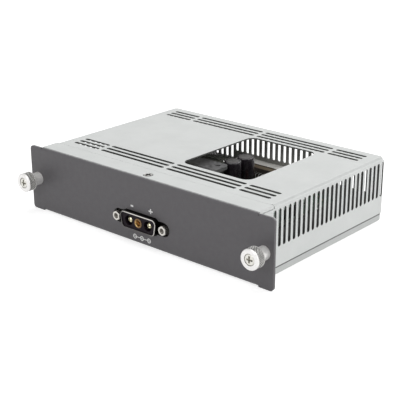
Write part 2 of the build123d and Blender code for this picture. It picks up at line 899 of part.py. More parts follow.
def leg_hole(margin):
    """Space round the core's middle leg, through the coil along the width."""
    low = board_top + bobbin_flange + core_height / 2 - core_leg / 2 - margin
    high = low + core_leg + 2 * margin
    half = core_depth / 2 + margin
    return block(core_x - core_width, core_x + core_width, core_y - half, core_y + half, low, high)


def transformer_winding():
    half, low, high = coil_span()
    reach = bobbin_length / 2
    inner = half - bobbin_flange
    outline = Pos(core_y, (low + high) / 2) * RectangleRounded(2 * reach, high - low, winding_corner)
    return prism_x(outline, core_x - inner, core_x + inner) - leg_hole(2 * bobbin_height_gap)


def transformer_bobbin():
    half, low, high = coil_span()
    reach = bobbin_length / 2
    tube = leg_hole(2 * bobbin_height_gap) & block(
        core_x - half, core_x + half, core_y - reach, core_y + reach, low, high)
    cheek = block(core_x - half, core_x + half, core_y - reach, core_y + reach, low, high)
    cheek -= block(core_x - half + bobbin_flange, core_x + half - bobbin_flange,
                   core_y - reach - past, core_y + reach + past, low - past, high + past)
    bobbin = tube + cheek - leg_hole(bobbin_height_gap)
    for end in (-1, 1):
        y0, y1 = sorted((core_y + end * (core_depth / 2 + bobbin_height_gap), core_y + end * reach))
        bobbin += block(core_x - half, core_x + half, y0, y1, board_top, low)
    return bobbin


def drum_profile():
    low = board_top
    high = board_top + drum_height
    r = drum_radius
    n = drum_neck_radius
    return Polygon((0, low), (r, low), (r, low + drum_flange), (n, low + drum_flange),
                   (n, high - drum_flange), (r, high - drum_flange), (r, high), (0, high), align=None)


def choke_core():
    return Pos(drum_x, drum_y, 0) * revolve(Plane.XZ * drum_profile(), Axis.Z)


def choke_winding():
    low = board_top + drum_flange + drum_gap
    high = board_top + drum_height - drum_flange - drum_gap
    ring = post(drum_x, drum_y, low, high, drum_radius - drum_winding_inset)
    return ring - post(drum_x, drum_y, low - past, high + past, drum_neck_radius + drum_gap)


def control_board():
    return block(control_x, control_x + control_thickness, control_front, control_front + control_length,
                 board_top, board_top + control_height)


def control_chips():
    face = control_x + control_thickness
    chips = []
    for start, length, lift in zip(chip_starts, chip_lengths, chip_lifts):
        y = control_front + start
        z = board_top + lift
        chips.append(block(face, face + chip_thickness, y, y + length, z, z + chip_height))
    return group(chips)


def film_capacitor():
    box = block(film_x, film_x + film_width, film_y, film_y + film_depth,
                board_top, board_top + film_height)
    return fillet(box.edges().filter_by(Axis.Z) + box.edges().group_by(Axis.Z)[-1], film_round)


def fuse_ends():
    return [(fuse_y, 1), (fuse_y + fuse_length, -1)]


def fuse_tube():
    z = board_top + fuse_lift
    return rod(fuse_x, z, fuse_y + fuse_cap_end, fuse_y + fuse_length - fuse_cap_end,
               fuse_radius)


def fuse_caps():
    z = board_top + fuse_lift
    caps = []
    for y, inward in fuse_ends():
        y0, y1 = sorted((y, y + inward * fuse_cap_length))
        pocket = sorted((y + inward * fuse_cap_end, y + inward * (fuse_cap_length + past)))
        cap = rod(fuse_x, z, y0, y1, fuse_cap_radius)
        caps.append(cap - rod(fuse_x, z, pocket[0], pocket[1], fuse_radius + screw_clearance))
    return group(caps)


def fuse_clips():
    """Sprung clips: two cheeks that hold each cap, on a foot on the board."""
    clips = []
    inner = fuse_cap_radius + screw_clearance
    outer = inner + clip_sheet
    high = board_top + fuse_lift + fuse_cap_radius
    for y, inward in fuse_ends():
        centre = y + inward * fuse_cap_length / 2
        y0 = centre - clip_width / 2
        y1 = centre + clip_width / 2
        clip = block(fuse_x - outer, fuse_x + outer, y0, y1, board_top, high)
        clips.append(clip - block(fuse_x - inner, fuse_x + inner, y0 - past, y1 + past,
                                  board_top + clip_sheet, high + past))
    return group(clips)


# Output connector at the rear edge of the board
def output_connector():
    half = connector_width / 2
    body = block(-half, half, connector_front, connector_back, board_top, connector_top)
    wall = connector_wall
    return body - block(-half + wall, half - wall, connector_front + connector_floor, connector_back + past,
                        board_top + wall, connector_top - wall)


def output_pins():
    z = (board_top + connector_top) / 2
    inner = connector_width - 2 * connector_wall
    step = inner / pin_count
    arm = pin_size / 2
    pins = []
    for index in range(pin_count):
        x = -inner / 2 + step * (index + 0.5)
        pins.append(block(x - arm, x + arm, connector_front + connector_floor,
                          connector_back - pin_reach, z - arm, z + arm))
    return group(pins)


def all_nodes():
    nodes = {
        "front_panel": front_panel(),
        "cover": cover(),
        "base_tray": base_tray(),
        "top_screw": sunk_screw(top_screw_x, flange_screw_y, body_height, 1),
        "top_press_nut": top_press_nut(),
        "bottom_screws": bottom_screws(),
        "bottom_press_nuts": bottom_press_nuts(),
        "rear_screws": rear_screws(),
        "rear_press_nuts": rear_press_nuts(),
        "inlet_shell": inlet_shell(),
        "inlet_insulator": inlet_insulator(),
        "inlet_contacts": inlet_contacts(),
        "inlet_brackets": inlet_brackets(),
        "jackscrews": jackscrews(),
        "circuit_board": circuit_board(),
        "board_standoffs": board_standoffs(),
        "board_screws": board_screws(),
        "window_capacitors": window_capacitors(),
        "bulk_capacitors": capacitor_pair(bulk_can_places, bulk_can_radius, bulk_can_headroom),
        "filter_capacitors": capacitor_pair(filter_can_places, filter_can_radius, filter_can_headroom),
        "film_capacitor": film_capacitor(),
        "transistor_heatsink": transistor_heatsink(),
        "side_heatsink": side_heatsink(),
        "transistors": transistors(),
        "transistor_screws": transistor_screws(),
        "transformer_core": transformer_core(),
        "transformer_bobbin": transformer_bobbin(),
        "transformer_winding": transformer_winding(),
        "choke_core": choke_core(),
        "choke_winding": choke_winding(),
        "control_board": control_board(),
        "control_chips": control_chips(),
        "fuse_tube": fuse_tube(),
        "fuse_caps": fuse_caps(),
        "fuse_clips": fuse_clips(),
        "output_connector": output_connector(),
        "output_pins": output_pins(),
    }
    for name, side in (("left", -1), ("right", 1)):
        x = side * thumb_x
        nodes[name + "_ferrule"] = ferrule(x)
        nodes[name + "_knob"] = knob(x)
        nodes[name + "_thumb_screw"] = thumb_screw(x)
        nodes[name + "_thumb_washer"] = thumb_washer(x)
        nodes[name + "_thumb_spring"] = thumb_spring(x)
    return nodes


def main():
    os.makedirs("parts", exist_ok=True)
    for name, shape in all_nodes().items():
        placed = group(Pos(0, front_y, 0) * solid for solid in shape.solids())
        export_step(placed, "parts/" + name + ".step")


if __name__ == "__main__":
    main()
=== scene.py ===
import random
from math import cos, pi, radians, sin

import bmesh
import bpy
from mathutils import Matrix, Vector


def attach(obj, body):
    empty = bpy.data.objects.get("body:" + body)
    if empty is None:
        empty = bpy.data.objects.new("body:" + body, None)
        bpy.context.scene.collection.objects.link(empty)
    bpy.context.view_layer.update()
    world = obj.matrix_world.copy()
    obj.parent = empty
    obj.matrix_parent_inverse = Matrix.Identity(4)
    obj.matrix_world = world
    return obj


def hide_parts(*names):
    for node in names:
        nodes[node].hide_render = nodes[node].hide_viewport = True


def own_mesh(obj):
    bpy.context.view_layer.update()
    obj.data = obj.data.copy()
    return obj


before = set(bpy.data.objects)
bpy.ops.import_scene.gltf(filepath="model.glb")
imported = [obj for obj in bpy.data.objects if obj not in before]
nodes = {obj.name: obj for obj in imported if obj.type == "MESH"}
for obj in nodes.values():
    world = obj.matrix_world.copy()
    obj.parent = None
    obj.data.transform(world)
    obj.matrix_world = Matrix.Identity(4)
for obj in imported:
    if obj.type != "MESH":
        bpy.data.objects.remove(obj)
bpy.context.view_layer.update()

# All sizes are in millimetres. The depth y is counted from the front panel's face.
MM = 0.001
FRONT_Y = -51.1
BODY_DEPTH = 111.9
BODY_HEIGHT = 38.0
BODY_HALF = 77.5
SHEET = 0.8
BEND = 2.0
COVER_BOTTOM = 5.3
BOARD_TOP = 8.0
INLET_Z = 12.9
JACK_X = 16.65
THUMB_X = 81.3
THUMB_Z = 18.8
PANEL_MIDDLE = 18.9
CONNECTOR_FACE = 104.2
CHOKE_X, CHOKE_Y = 32.0, 60.0
CORE_X, CORE_Y = -13.0, 71.0

# Threads, each with its outside radius, core radius and pitch
M3 = (1.5, 1.28, 0.5)
STUD_THREAD = (1.5, 1.24, 0.5)
JACK_THREAD = (1.42, 1.2, 0.5)
THREAD_SEGMENTS = 36
THREAD_STEPS = 8

# Places of the screws
CASE_SCREW_LENGTH = 5.0
TOP_SCREW_X = 0.8
FLANGE_SCREW_Y = 5.3
BOTTOM_SCREW_X = (-52.0, 52.0)
REAR_SCREW_X = (-62.0, 62.0)
REAR_SCREW_Z = 9.8
BOARD_SCREW_X = (-66.0, 66.0)
BOARD_SCREW_Y = (21.0, 97.4)

# Points nearer than this, in metres, are welded
WELD = 1e-7
CRISP = 30

random.seed(7)


# Mesh helpers
def at(x, y, z):
    return Vector((x * MM, (y + FRONT_Y) * MM, z * MM))


def along_y(cx, cz):
    """Turn a shape drawn about its own axis so that the axis runs along the depth."""
    return lambda a, b, h: (cx + a, h, cz + b)


def along_z(cx, cy):
    return lambda a, b, h: (cx + a, cy + b, h)


def add_object(name, data):
    obj = bpy.data.objects.new(name, data)
    bpy.context.scene.collection.objects.link(obj)
    return obj


def shade(mesh, smooth):
    """Smooth shading, with edges sharper than the given angle kept crisp."""
    mesh.polygons.foreach_set("use_smooth", [True] * len(mesh.polygons))
    mesh.set_sharp_from_angle(angle=radians(smooth))


def edit(mesh, change):
    """Run a change on the mesh's editable copy."""
    work = bmesh.new()
    work.from_mesh(mesh)
    change(work)
    work.to_mesh(mesh)
    work.free()


def face_outwards(work):
    bmesh.ops.recalc_face_normals(work, faces=work.faces)


def weld(work):
    bmesh.ops.remove_doubles(work, verts=work.verts, dist=WELD)
    face_outwards(work)


def piece(name, parts, look, body="case", smooth=35, stands_for=None):
    """Object made of (points, faces) parts, which rides on a body and may stand for a node."""
    points, faces = join_parts(parts)
    mesh = bpy.data.meshes.new(name)
    mesh.from_pydata([at(*p) for p in points], [], faces)
    mesh.materials.append(looks[look])
    edit(mesh, weld)
    shade(mesh, smooth)
    obj = add_object(name, mesh)
    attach(obj, body)
    if stands_for:
        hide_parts(stands_for)
    return obj


def join_parts(parts):
    """Merge (points, faces) pairs into one pair."""
    points, faces = [], []
    for part_points, part_faces in parts:
        base = len(points)
        points += part_points
        faces += [[base + i for i in face] for face in part_faces]
    return points, faces


def lathe(profile, turn, segments=48, shape=None):
    """Turn a profile of (radius, height) pairs about an axis; shape may change each radius."""
    points, rings = [], []
    for radius, height in profile:
        if radius == 0:
            rings.append([len(points)] * segments)
            points.append(turn(0, 0, height))
            continue
        ring = []
        for i in range(segments):
            angle = 2 * pi * i / segments
            r = shape(radius, height, angle) if shape else radius
            ring.append(len(points))
            points.append(turn(r * cos(angle), r * sin(angle), height))
        rings.append(ring)
    return points, skin(rings)


def skin(rings):
    """Faces between neighbouring rings of points, leaving out what has shrunk to nothing."""
    faces = []
    for low, high in zip(rings, rings[1:]):
        for i in range(len(low)):
            j = (i + 1) % len(low)
            face = [low[i], low[j], high[j], high[i]]
            face = [v for k, v in enumerate(face) if v != face[k - 1]]
            if len(set(face)) > 2:
                faces.append(face)
    return faces


def box(x0, x1, y0, y1, z0, z1):
    points = [(x, y, z) for x in (x0, x1) for y in (y0, y1) for z in (z0, z1)]
    faces = [[0, 1, 3, 2], [4, 6, 7, 5], [0, 4, 5, 1], [2, 3, 7, 6], [0, 2, 6, 4], [1, 5, 7, 3]]
    return points, faces


def bevelled_box(x0, x1, y0, y1, z0, z1, edge):
    """Box with a small flat along each edge."""
    points, faces = box(x0, x1, y0, y1, z0, z1)
    work = bmesh.new()
    verts = [work.verts.new(p) for p in points]
    for face in faces:
        work.faces.new([verts[i] for i in face])
    bmesh.ops.bevel(work, geom=list(work.edges), offset=edge, segments=1, affect="EDGES", profile=0.5)
    work.verts.index_update()
    out_points = [tuple(v.co) for v in work.verts]
    out_faces = [[v.index for v in f.verts] for f in work.faces]
    work.free()
    return out_points, out_faces


def prism(outline, low, high, turn):
    """Extrude a closed outline of (a, b) pairs from low to high."""
    count = len(outline)
    points = [turn(a, b, low) for a, b in outline] + [turn(a, b, high) for a, b in outline]
    faces = [list(range(count)), list(range(count, 2 * count))]
    for i in range(count):
        j = (i + 1) % count
        faces.append([i, j, count + j, count + i])
    return points, faces


def tube(path, radius, sides=8):
    """Round wire along a list of points."""
    points, normal = [], None
    path = [Vector(p) for p in path]
    count = len(path)
    for i, centre in enumerate(path):
        ahead = path[min(i + 1, count - 1)] - path[max(i - 1, 0)]
        ahead.normalize()
        if normal is None:
            normal = ahead.orthogonal().normalized()
        normal = (normal - ahead * normal.dot(ahead)).normalized()
        side = ahead.cross(normal)
        for k in range(sides):
            angle = 2 * pi * k / sides
            points.append(tuple(centre + (normal * cos(angle) + side * sin(angle)) * radius))
    rings = [list(range(i * sides, (i + 1) * sides)) for i in range(count)]
    return points, skin(rings) + [rings[0], rings[-1]]


def cut(obj, points, faces):
    """Take one closed shape out of a piece."""
    mesh = bpy.data.meshes.new("cutter")
    mesh.from_pydata([at(*p) for p in points], [], faces)
    edit(mesh, face_outwards)
    cutter = add_object("cutter", mesh)
    modifier = obj.modifiers.new("cut", "BOOLEAN")
    modifier.operation = "DIFFERENCE"
    modifier.solver = "EXACT"
    modifier.object = cutter
    bpy.context.view_layer.update()
    shown = obj.evaluated_get(bpy.context.evaluated_depsgraph_get())
    obj.data = bpy.data.meshes.new_from_object(shown)
    obj.modifiers.clear()
    edit(obj.data, weld)
    shade(obj.data, CRISP)
    bpy.data.objects.remove(cutter)


# Material helpers
class Look:
    """A principled material with object-space textures in millimetres."""

    def __init__(self, name, roughness=0.5, metallic=0.0, **sockets):
        self.material = bpy.data.materials.new(name)
        self.material.use_nodes = True
        self.tree = self.material.node_tree
        self.shader = self.tree.nodes["Principled BSDF"]
        self.shader.inputs["Roughness"].default_value = roughness
        self.shader.inputs["Metallic"].default_value = metallic
        for socket, value in sockets.items():
            self.shader.inputs[socket.replace("_", " ")].default_value = value
        self.coords = self.tree.nodes.new("ShaderNodeTexCoord").outputs["Object"]

    def link(self, source, target):
        self.tree.links.new(source, target)

    def node(self, kind, **inputs):
        """New node with its inputs linked or set; an underscore stands for a space."""
        node = self.tree.nodes.new("ShaderNode" + kind)
        for name, value in inputs.items():
            socket = node.inputs[name.replace("_", " ")]
            if isinstance(value, bpy.types.NodeSocket):
                self.link(value, socket)
            else:
                socket.default_value = value
        return node

    def math(self, operation, first, second=0.0):
        node = self.node("Math")
        node.operation = operation
        for socket, value in zip(node.inputs, (first, second)):
            if isinstance(value, (int, float)):
                socket.default_value = value
            else:
                self.link(value, socket)
        return node.outputs[0]

    def times(self, first, second):
        return self.math("MULTIPLY", first, second)

    def minus(self, first, second):
        return self.math("SUBTRACT", first, second)

    def absolute(self, value):
        return self.math("ABSOLUTE", value)

    def noise(self, size, detail=3.0, stretch=(1, 1, 1), roughness=0.5):
        """Noise whose features are about size millimetres across."""
        place = self.node("Mapping", Scale=stretch, Vector=self.coords).outputs["Vector"]
        node = self.node("TexNoise", Scale=1.0 / (size * MM), Detail=detail, Roughness=roughness,
                         Vector=place)
        return node.outputs["Fac"]

    def cells(self, size, feature="F1", stretch=(1, 1, 1), output="Distance"):
        place = self.node("Mapping", Scale=stretch, Vector=self.coords).outputs["Vector"]
        node = self.node("TexVoronoi", Scale=1.0 / (size * MM), Vector=place)
        node.feature = feature
        return node.outputs[output]

    def axis(self, name):
        return self.node("SeparateXYZ", Vector=self.coords).outputs[name]

    def radius(self, cx, cz):
        """Distance from an axis that runs along the depth, the same on both sides of the part."""
        across = self.minus(self.absolute(self.axis("X")), cx * MM)
        rise = self.minus(self.axis("Z"), cz * MM)
        square = self.math("ADD", self.times(across, across), self.times(rise, rise))
        return self.math("SQRT", square)

    def lanes(self, name, pitch, start, end):
        """Stripes across one axis: 0 in the middle of each, 1 at its edges, at a pitch in millimetres."""
        place = self.math("FRACT", self.times(self.axis(name), 1.0 / (pitch * MM)))
        return self.step(self.absolute(self.minus(place, 0.5)), start, end)

    def step(self, value, start, end):
        """0 below start and 1 above end, smooth between."""
        node = self.node("MapRange", From_Min=start, From_Max=end, Value=value)
        node.interpolation_type = "SMOOTHSTEP"
        return node.outputs["Result"]

    def rise(self, value, start, end):
        """A step from start to end in millimetres."""
        return self.step(value, start * MM, end * MM)

    def below(self, value, limit):
        """1 below a limit in millimetres, 0 above."""
        return self.math("LESS_THAN", value, limit * MM)

    def inside(self, *pairs):
        """1 where every value is below its limit in millimetres."""
        total = None
        for value, limit in zip(pairs[::2], pairs[1::2]):
            part = self.below(value, limit)
            total = part if total is None else self.times(total, part)
        return total

    def outside(self, *pairs):
        """1 where any value is above its limit in millimetres."""
        return self.minus(1.0, self.inside(*pairs))

    def ramp(self, value, stops):
        node = self.node("ValToRGB", Fac=value)
        elements = node.color_ramp.elements
        while len(elements) < len(stops):
            elements.new(0.5)
        for element, (place, colour) in zip(elements, stops):
            element.position = place
            element.color = (*colour, 1.0)
        return node.outputs["Color"]

    def spread(self, value, low, high, bottom, top):
        """Map low to high onto bottom to top."""
        node = self.node("MapRange", From_Min=low, From_Max=high, To_Min=bottom, To_Max=top, Value=value)
        return node.outputs["Result"]

    def mix(self, amount, first, second):
        node = self.node("Mix")
        node.data_type = "RGBA"
        for socket, value in ((node.inputs["Factor"], amount), (node.inputs[6], first),
                              (node.inputs[7], second)):
            if isinstance(value, (int, float)):
                socket.default_value = value
            elif isinstance(value, tuple):
                socket.default_value = (*value, 1.0)
            else:
                self.link(value, socket)
        return node.outputs[2]

    def colour(self, source):
        self.link(source, self.shader.inputs["Base Color"])

    def rough(self, source, low, high):
        self.link(self.spread(source, 0.25, 0.75, low, high), self.shader.inputs["Roughness"])

    def bump(self, source, height):
        """Bump of the given height in millimetres, on top of any bump that is there."""
        node = self.node("Bump", Distance=height * MM, Strength=1.0, Height=source)
        previous = self.shader.inputs["Normal"]
        if previous.links:
            self.link(previous.links[0].from_socket, node.inputs["Normal"])
        self.link(node.outputs["Normal"], previous)

    def finish(self, low, high, size=0.8, detail=3.0, grain=0.2, height=0.002):
        """Uneven roughness and a fine grain."""
        self.rough(self.noise(size, detail), low, high)
        self.bump(self.noise(grain, detail=2.0), height)
        return self.material


def tinted(name, base, spot, size=2.0, roughness=(0.4, 0.6), bump=0.01, grain=0.25, **sockets):
    """A material with soft colour variation, fine grain bump and uneven roughness."""
    look = Look(name, **sockets)
    look.colour(look.ramp(look.noise(size, detail=4.0), [(0.3, spot), (0.7, base)]))
    return look.finish(*roughness, size * 0.6, 2.0, grain, bump)


def plated(name, base, spot, low, high):
    """Bare metal with a soft haze."""
    look = Look(name, metallic=1.0)
    look.colour(look.ramp(look.noise(1.6, detail=4.0), [(0.3, spot), (0.7, base)]))
    return look.finish(low, high)


# Materials
PAINT = (0.112, 0.107, 0.114)
PAINT_SPOT = (0.104, 0.099, 0.106)
STEEL = (0.700, 0.716, 0.706)
STEEL_SPOT = (0.662, 0.678, 0.668)
SPECK = (0.62, 0.64, 0.63)
RAW_EDGE = (0.115, 0.118, 0.115)
# Painted shade for the cover's bend and the tray's outer wall
BEND_SHADE = (0.36, 0.37, 0.365)
# Painted shadow in the seam under the cover's lower edge
SEAM_SHADE = (0.055, 0.056, 0.055)
# Painted shade for the inside faces, which are the same plated steel as the outside
INSIDE_SHADE = (0.30, 0.295, 0.28)
SHEET_METALLIC = 0.25
EDGE = 0.03


def sheet_look(name):
    """Plated sheet steel, with its colour and grain."""
    look = Look(name, roughness=0.48, metallic=SHEET_METALLIC)
    return (look, *sheet_colour(look))


def sheet_colour(look):
    haze = look.noise(14.0, detail=5.0, roughness=0.55)
    grain = look.noise(0.35, detail=2.0, stretch=(0.25, 1.0, 1.0))
    colour = look.ramp(haze, [(0.35, STEEL_SPOT), (0.65, STEEL)])
    return look.mix(look.spread(grain, 0.3, 0.7, 0.0, 0.22), colour, SPECK), grain


def finish_sheet(look, colour, grain):
    look.colour(colour)
    look.rough(look.noise(9.0, detail=4.0), 0.42, 0.56)
    look.bump(grain, 0.006)
    return look.material


def make_cover():
    """Plated outside, with painted shade on the inside faces and along the bend, and raw dark steel where
    the slots are punched.
    """
    look, colour, grain = sheet_look("cover_sheet")
    across, depth, height = look.absolute(look.axis("X")), look.axis("Y"), look.axis("Z")
    rear, skin = FRONT_Y + BODY_DEPTH, SHEET - EDGE
    inside = look.inside(across, BODY_HALF - skin, depth, rear - skin, height, BODY_HEIGHT - skin)
    outside = look.outside(across, BODY_HALF - EDGE, depth, rear - EDGE, height, BODY_HEIGHT - EDGE)
    flat = look.inside(across, BODY_HALF - BEND, depth, rear - BEND)
    below = look.below(height, BODY_HEIGHT - BEND)
    punched = look.times(look.math("MAXIMUM", flat, below), look.minus(1.0, outside))
    # Painted shade along the bend between the top and the sides
    bend = look.times(look.rise(across, BODY_HALF - 1.75, BODY_HALF - 0.95),
                      look.rise(height, BODY_HEIGHT - 1.2, BODY_HEIGHT - 0.5))
    colour = look.mix(look.times(bend, 0.7), colour, BEND_SHADE)
    colour = look.mix(punched, colour, RAW_EDGE)
    # Painted shade on the inside faces
    return finish_sheet(look, look.mix(inside, colour, INSIDE_SHADE), grain)


def make_tray():
    """Plated sheet with a painted shadow line in the seam under the cover's lower edge, painted shade on
    its outer wall and painted shade on its inside faces.
    """
    look, colour, grain = sheet_look("tray_sheet")
    across, height = look.absolute(look.axis("X")), look.axis("Z")
    # Painted shadow line just under the cover's lower edge
    seam = look.rise(height, COVER_BOTTOM - 1.5, COVER_BOTTOM - 1.05)
    inner = look.inside(across, BODY_HALF - SHEET - 0.6, look.axis("Y"), FRONT_Y + BODY_DEPTH - 2 * SHEET)
    inner = look.times(inner, look.math("GREATER_THAN", height, (SHEET - EDGE) * MM))
    # Painted shade on the outer wall below the cover
    wall = look.rise(across, BODY_HALF - BEND, BODY_HALF - 1.0)
    colour = look.mix(look.times(wall, 0.3), colour, BEND_SHADE)
    colour = look.mix(seam, colour, SEAM_SHADE)
    # Painted shade on the inside faces
    return finish_sheet(look, look.mix(inner, colour, INSIDE_SHADE), grain)


def make_panel():
    """Painted face that fades to bare sheet over the folds, bare at the back."""
    look = Look("painted_panel", roughness=0.5)
    bare, _ = sheet_colour(look)
    depth = look.math("ADD", look.axis("Y"), look.times(look.noise(1.2), 0.6 * MM))
    fade = look.rise(depth, FRONT_Y + 0.7, FRONT_Y + 2.2)
    height = look.absolute(look.minus(look.axis("Z"), PANEL_MIDDLE * MM))
    near_fold = look.rise(height, 16.6, 18.6)
    back = look.rise(look.axis("Y"), FRONT_Y + 1.25, FRONT_Y + 1.5)
    shown = look.math("MAXIMUM", look.times(fade, near_fold), back)
    paint = look.ramp(look.noise(3.0, detail=4.0), [(0.35, PAINT_SPOT), (0.65, PAINT)])
    look.colour(look.mix(shown, paint, bare))
    look.link(look.times(shown, SHEET_METALLIC), look.shader.inputs["Metallic"])
    look.rough(look.noise(0.9, detail=2.0), 0.44, 0.58)
    look.bump(look.cells(0.42, feature="SMOOTH_F1"), 0.012)
    return look.material


def make_inlet_shell():
    """Dark plating, with a painted highlight along the upper and right part of the rim."""
    look = Look("inlet_plating", metallic=1.0)
    rim = look.rise(look.axis("Y"), FRONT_Y - 2.1, FRONT_Y - 2.5)
    # Painted highlight: the rim is brighter towards the upper right
    slope = look.times(look.minus(look.axis("Z"), INLET_Z * MM), 2.6)
    painted_highlight = look.rise(look.math("ADD", look.axis("X"), slope), -4.0, 6.0)
    rim_colour = look.mix(painted_highlight, (0.14, 0.135, 0.13), (0.62, 0.60, 0.57))
    dark = look.ramp(look.noise(1.2), [(0.3, (0.012, 0.011, 0.011)), (0.7, (0.022, 0.020, 0.020))])
    look.colour(look.mix(rim, dark, rim_colour))
    return look.finish(0.24, 0.4, size=0.5, detail=2.0, grain=0.25, height=0.003)


def make_knob_metal():
    """Painted light and shade on one metal: a painted reflection on the turned faces, paler in the mouth's
    recess, and a knurl with darker ridges and painted shade in its grooves.
    """
    look = Look("knob_metal", metallic=1.0)
    away = look.radius(THUMB_X, THUMB_Z)
    # Painted shade in the knurl's grooves, and on its ridges, which are darker than the face
    ridge = look.rise(away, 5.10, 5.34)
    knurl = look.mix(ridge, (0.020, 0.019, 0.018), (0.52, 0.515, 0.50))
    # Painted reflection on the front face, and painted light in the mouth's recess
    rim = look.rise(away, 3.02, 3.1)
    face = look.mix(rim, (0.78, 0.77, 0.74), (0.72, 0.71, 0.70))
    front = look.rise(look.axis("Y"), FRONT_Y - 10.5, FRONT_Y - 10.8)
    look.colour(look.mix(front, knurl, face))
    return look.finish(0.24, 0.4)


def make_thumb_metal():
    """Bright screw with painted shade in its cross recess."""
    look = Look("thumb_metal", metallic=1.0)
    # Painted shade in the cross recess
    sunk = look.rise(look.axis("Y"), FRONT_Y - 11.22, FRONT_Y - 11.1)
    near = look.rise(look.radius(THUMB_X, THUMB_Z), 2.45, 2.35)
    colour = look.ramp(look.noise(1.6), [(0.3, (0.60, 0.59, 0.55)), (0.7, (0.70, 0.69, 0.64))])
    look.colour(look.mix(look.times(sunk, near), colour, (0.27, 0.26, 0.225)))
    return look.finish(0.26, 0.42)


def make_case_screw():
    """Pale screw face, with painted shade in its cross recess and down its sunk rim."""
    look = Look("case_screw", metallic=1.0)
    middle = BODY_HEIGHT / 2
    away = look.absolute(look.minus(look.axis("Z"), middle * MM))
    # Painted shade: everything below the flush face is dark
    face = look.rise(away, middle - 0.08, middle - 0.03)
    pale = look.mix(look.noise(0.6), (0.46, 0.455, 0.44), (0.34, 0.335, 0.32))
    look.colour(look.mix(face, (0.018, 0.017, 0.016), pale))
    return look.finish(0.26, 0.42)


def make_jack_metal():
    """Bright hexagon face, with painted shade on its side flats and down its threaded bore."""
    look = Look("jackscrew_metal", metallic=1.0)
    away = look.radius(JACK_X, INLET_Z)
    # Painted shade down the bore, and on the side flats, which are darker than the face
    face, edge = look.rise(away, 1.45, 1.6), look.rise(away, 2.25, 2.45)
    metal = look.mix(edge, (0.60, 0.585, 0.55), (0.42, 0.405, 0.38))
    look.colour(look.mix(face, (0.15, 0.14, 0.125), metal))
    return look.finish(0.24, 0.4)


def make_socket_metal():
    """Dark copper rim round a gilt bore, with painted glints in the bore."""
    look = Look("socket_metal", metallic=0.6)
    inside = look.rise(look.radius(0.0, INLET_Z), 2.05, 1.85)
    # Painted glints inside the bore
    glint = look.step(look.noise(1.5, detail=2.0), 0.42, 0.58)
    gilt = look.mix(glint, (0.45, 0.23, 0.06), (1.0, 0.74, 0.30))
    look.colour(look.mix(inside, (0.20, 0.12, 0.055), gilt))
    return look.finish(0.22, 0.38, grain=0.3, height=0.004)


def make_nylon():
    """Cream top, with a tan band and a brown line along the face towards the board."""
    look = Look("connector_nylon")
    drift = look.noise(3.0)
    cream = look.mix(drift, (0.99, 0.98, 0.94), (0.96, 0.945, 0.90))
    tan = look.mix(drift, (0.72, 0.58, 0.44), (0.62, 0.50, 0.37))
    line = look.rise(look.axis("Z"), 16.55, 16.75)
    band = look.mix(line, tan, (0.16, 0.12, 0.09))
    face = look.below(look.axis("Y"), FRONT_Y + CONNECTOR_FACE + EDGE)
    look.colour(look.mix(face, cream, band))
    return look.finish(0.4, 0.54, size=1.5, detail=2.0, grain=0.3, height=0.008)


def make_plate():
    """Rough dark plate, with painted light away from the window, where the cover shades it."""
    look = Look("anodised_plate", metallic=0.2)
    rough = look.step(look.noise(1.8, detail=5.0, roughness=0.7), 0.35, 0.65)
    # Painted light: lighter away from the window, where the cover shades the plate
    painted_light_far = look.rise(look.axis("X"), 4.0, -22.0)
    near = look.mix(rough, (0.085, 0.084, 0.085), (0.17, 0.168, 0.17))
    far = look.mix(rough, (0.42, 0.418, 0.42), (0.74, 0.735, 0.74))
    look.colour(look.mix(painted_light_far, near, far))
    look.rough(rough, 0.5, 0.7)
    look.bump(rough, 0.04)
    return look.material


def make_board():
    """Solder mask over copper tracks, with fine weave underneath."""
    look = Look("solder_mask")
    tracks = look.cells(3.2, stretch=(1.0, 0.55, 1.0), output="Color")
    patch = look.step(look.noise(7.0, detail=1.0), 0.5, 0.54)
    raised = look.times(look.lanes("X", 1.27, 0.22, 0.28), patch)
    base = look.mix(look.step(tracks, 0.4, 0.6), (0.014, 0.060, 0.027), (0.018, 0.075, 0.035))
    look.colour(look.mix(raised, base, (0.040, 0.140, 0.062)))
    look.rough(look.noise(1.0, detail=2.0), 0.28, 0.42)
    look.bump(raised, 0.03)
    look.bump(look.noise(0.5, detail=1.0), 0.004)
    return look.material


def make_coated_board():
    """Mint board with printed lanes, painted pale as painted light, with painted shade along its lower
    edge.
    """
    look = Look("coated_board")
    patch = look.step(look.noise(4.0, detail=2.0), 0.46, 0.5)
    lanes = look.times(look.lanes("Y", 2.54, 0.3, 0.36), patch)
    # Painted light: the mint is paler than the board's own tone
    pale = look.mix(lanes, (0.80, 0.92, 0.84), (0.60, 0.76, 0.66))
    # Painted shade along the lower edge
    low = look.rise(look.axis("Z"), 13.0, 11.0)
    look.colour(look.mix(low, pale, (0.030, 0.075, 0.045)))
    look.rough(look.noise(1.0, detail=2.0), 0.36, 0.5)
    look.bump(patch, 0.02)
    return look.material


def make_tape():
    """Overlapping layers of insulating tape."""
    look = Look("winding_tape", Coat_Weight=0.3, Coat_Roughness=0.2)
    laps = look.math("FRACT", look.times(look.axis("X"), 1.0 / (3.1 * MM)))
    look.colour(look.mix(look.noise(2.0), (0.16, 0.175, 0.12), (0.25, 0.265, 0.19)))
    look.bump(look.step(laps, 0.9, 0.96), 0.05)
    look.bump(look.noise(1.5), 0.03)
    look.rough(look.noise(0.8), 0.26, 0.42)
    return look.material


def make_sleeve():
    """Shrunk sleeve with faint draw marks."""
    look = Look("capacitor_sleeve", Coat_Weight=0.25, Coat_Roughness=0.12)
    marks = look.noise(0.9, stretch=(1.0, 1.0, 0.15))
    look.colour(look.ramp(marks, [(0.3, (0.010, 0.007, 0.010)), (0.7, (0.018, 0.013, 0.018))]))
    look.rough(look.noise(1.4), 0.18, 0.3)
    look.bump(marks, 0.004)
    return look.material


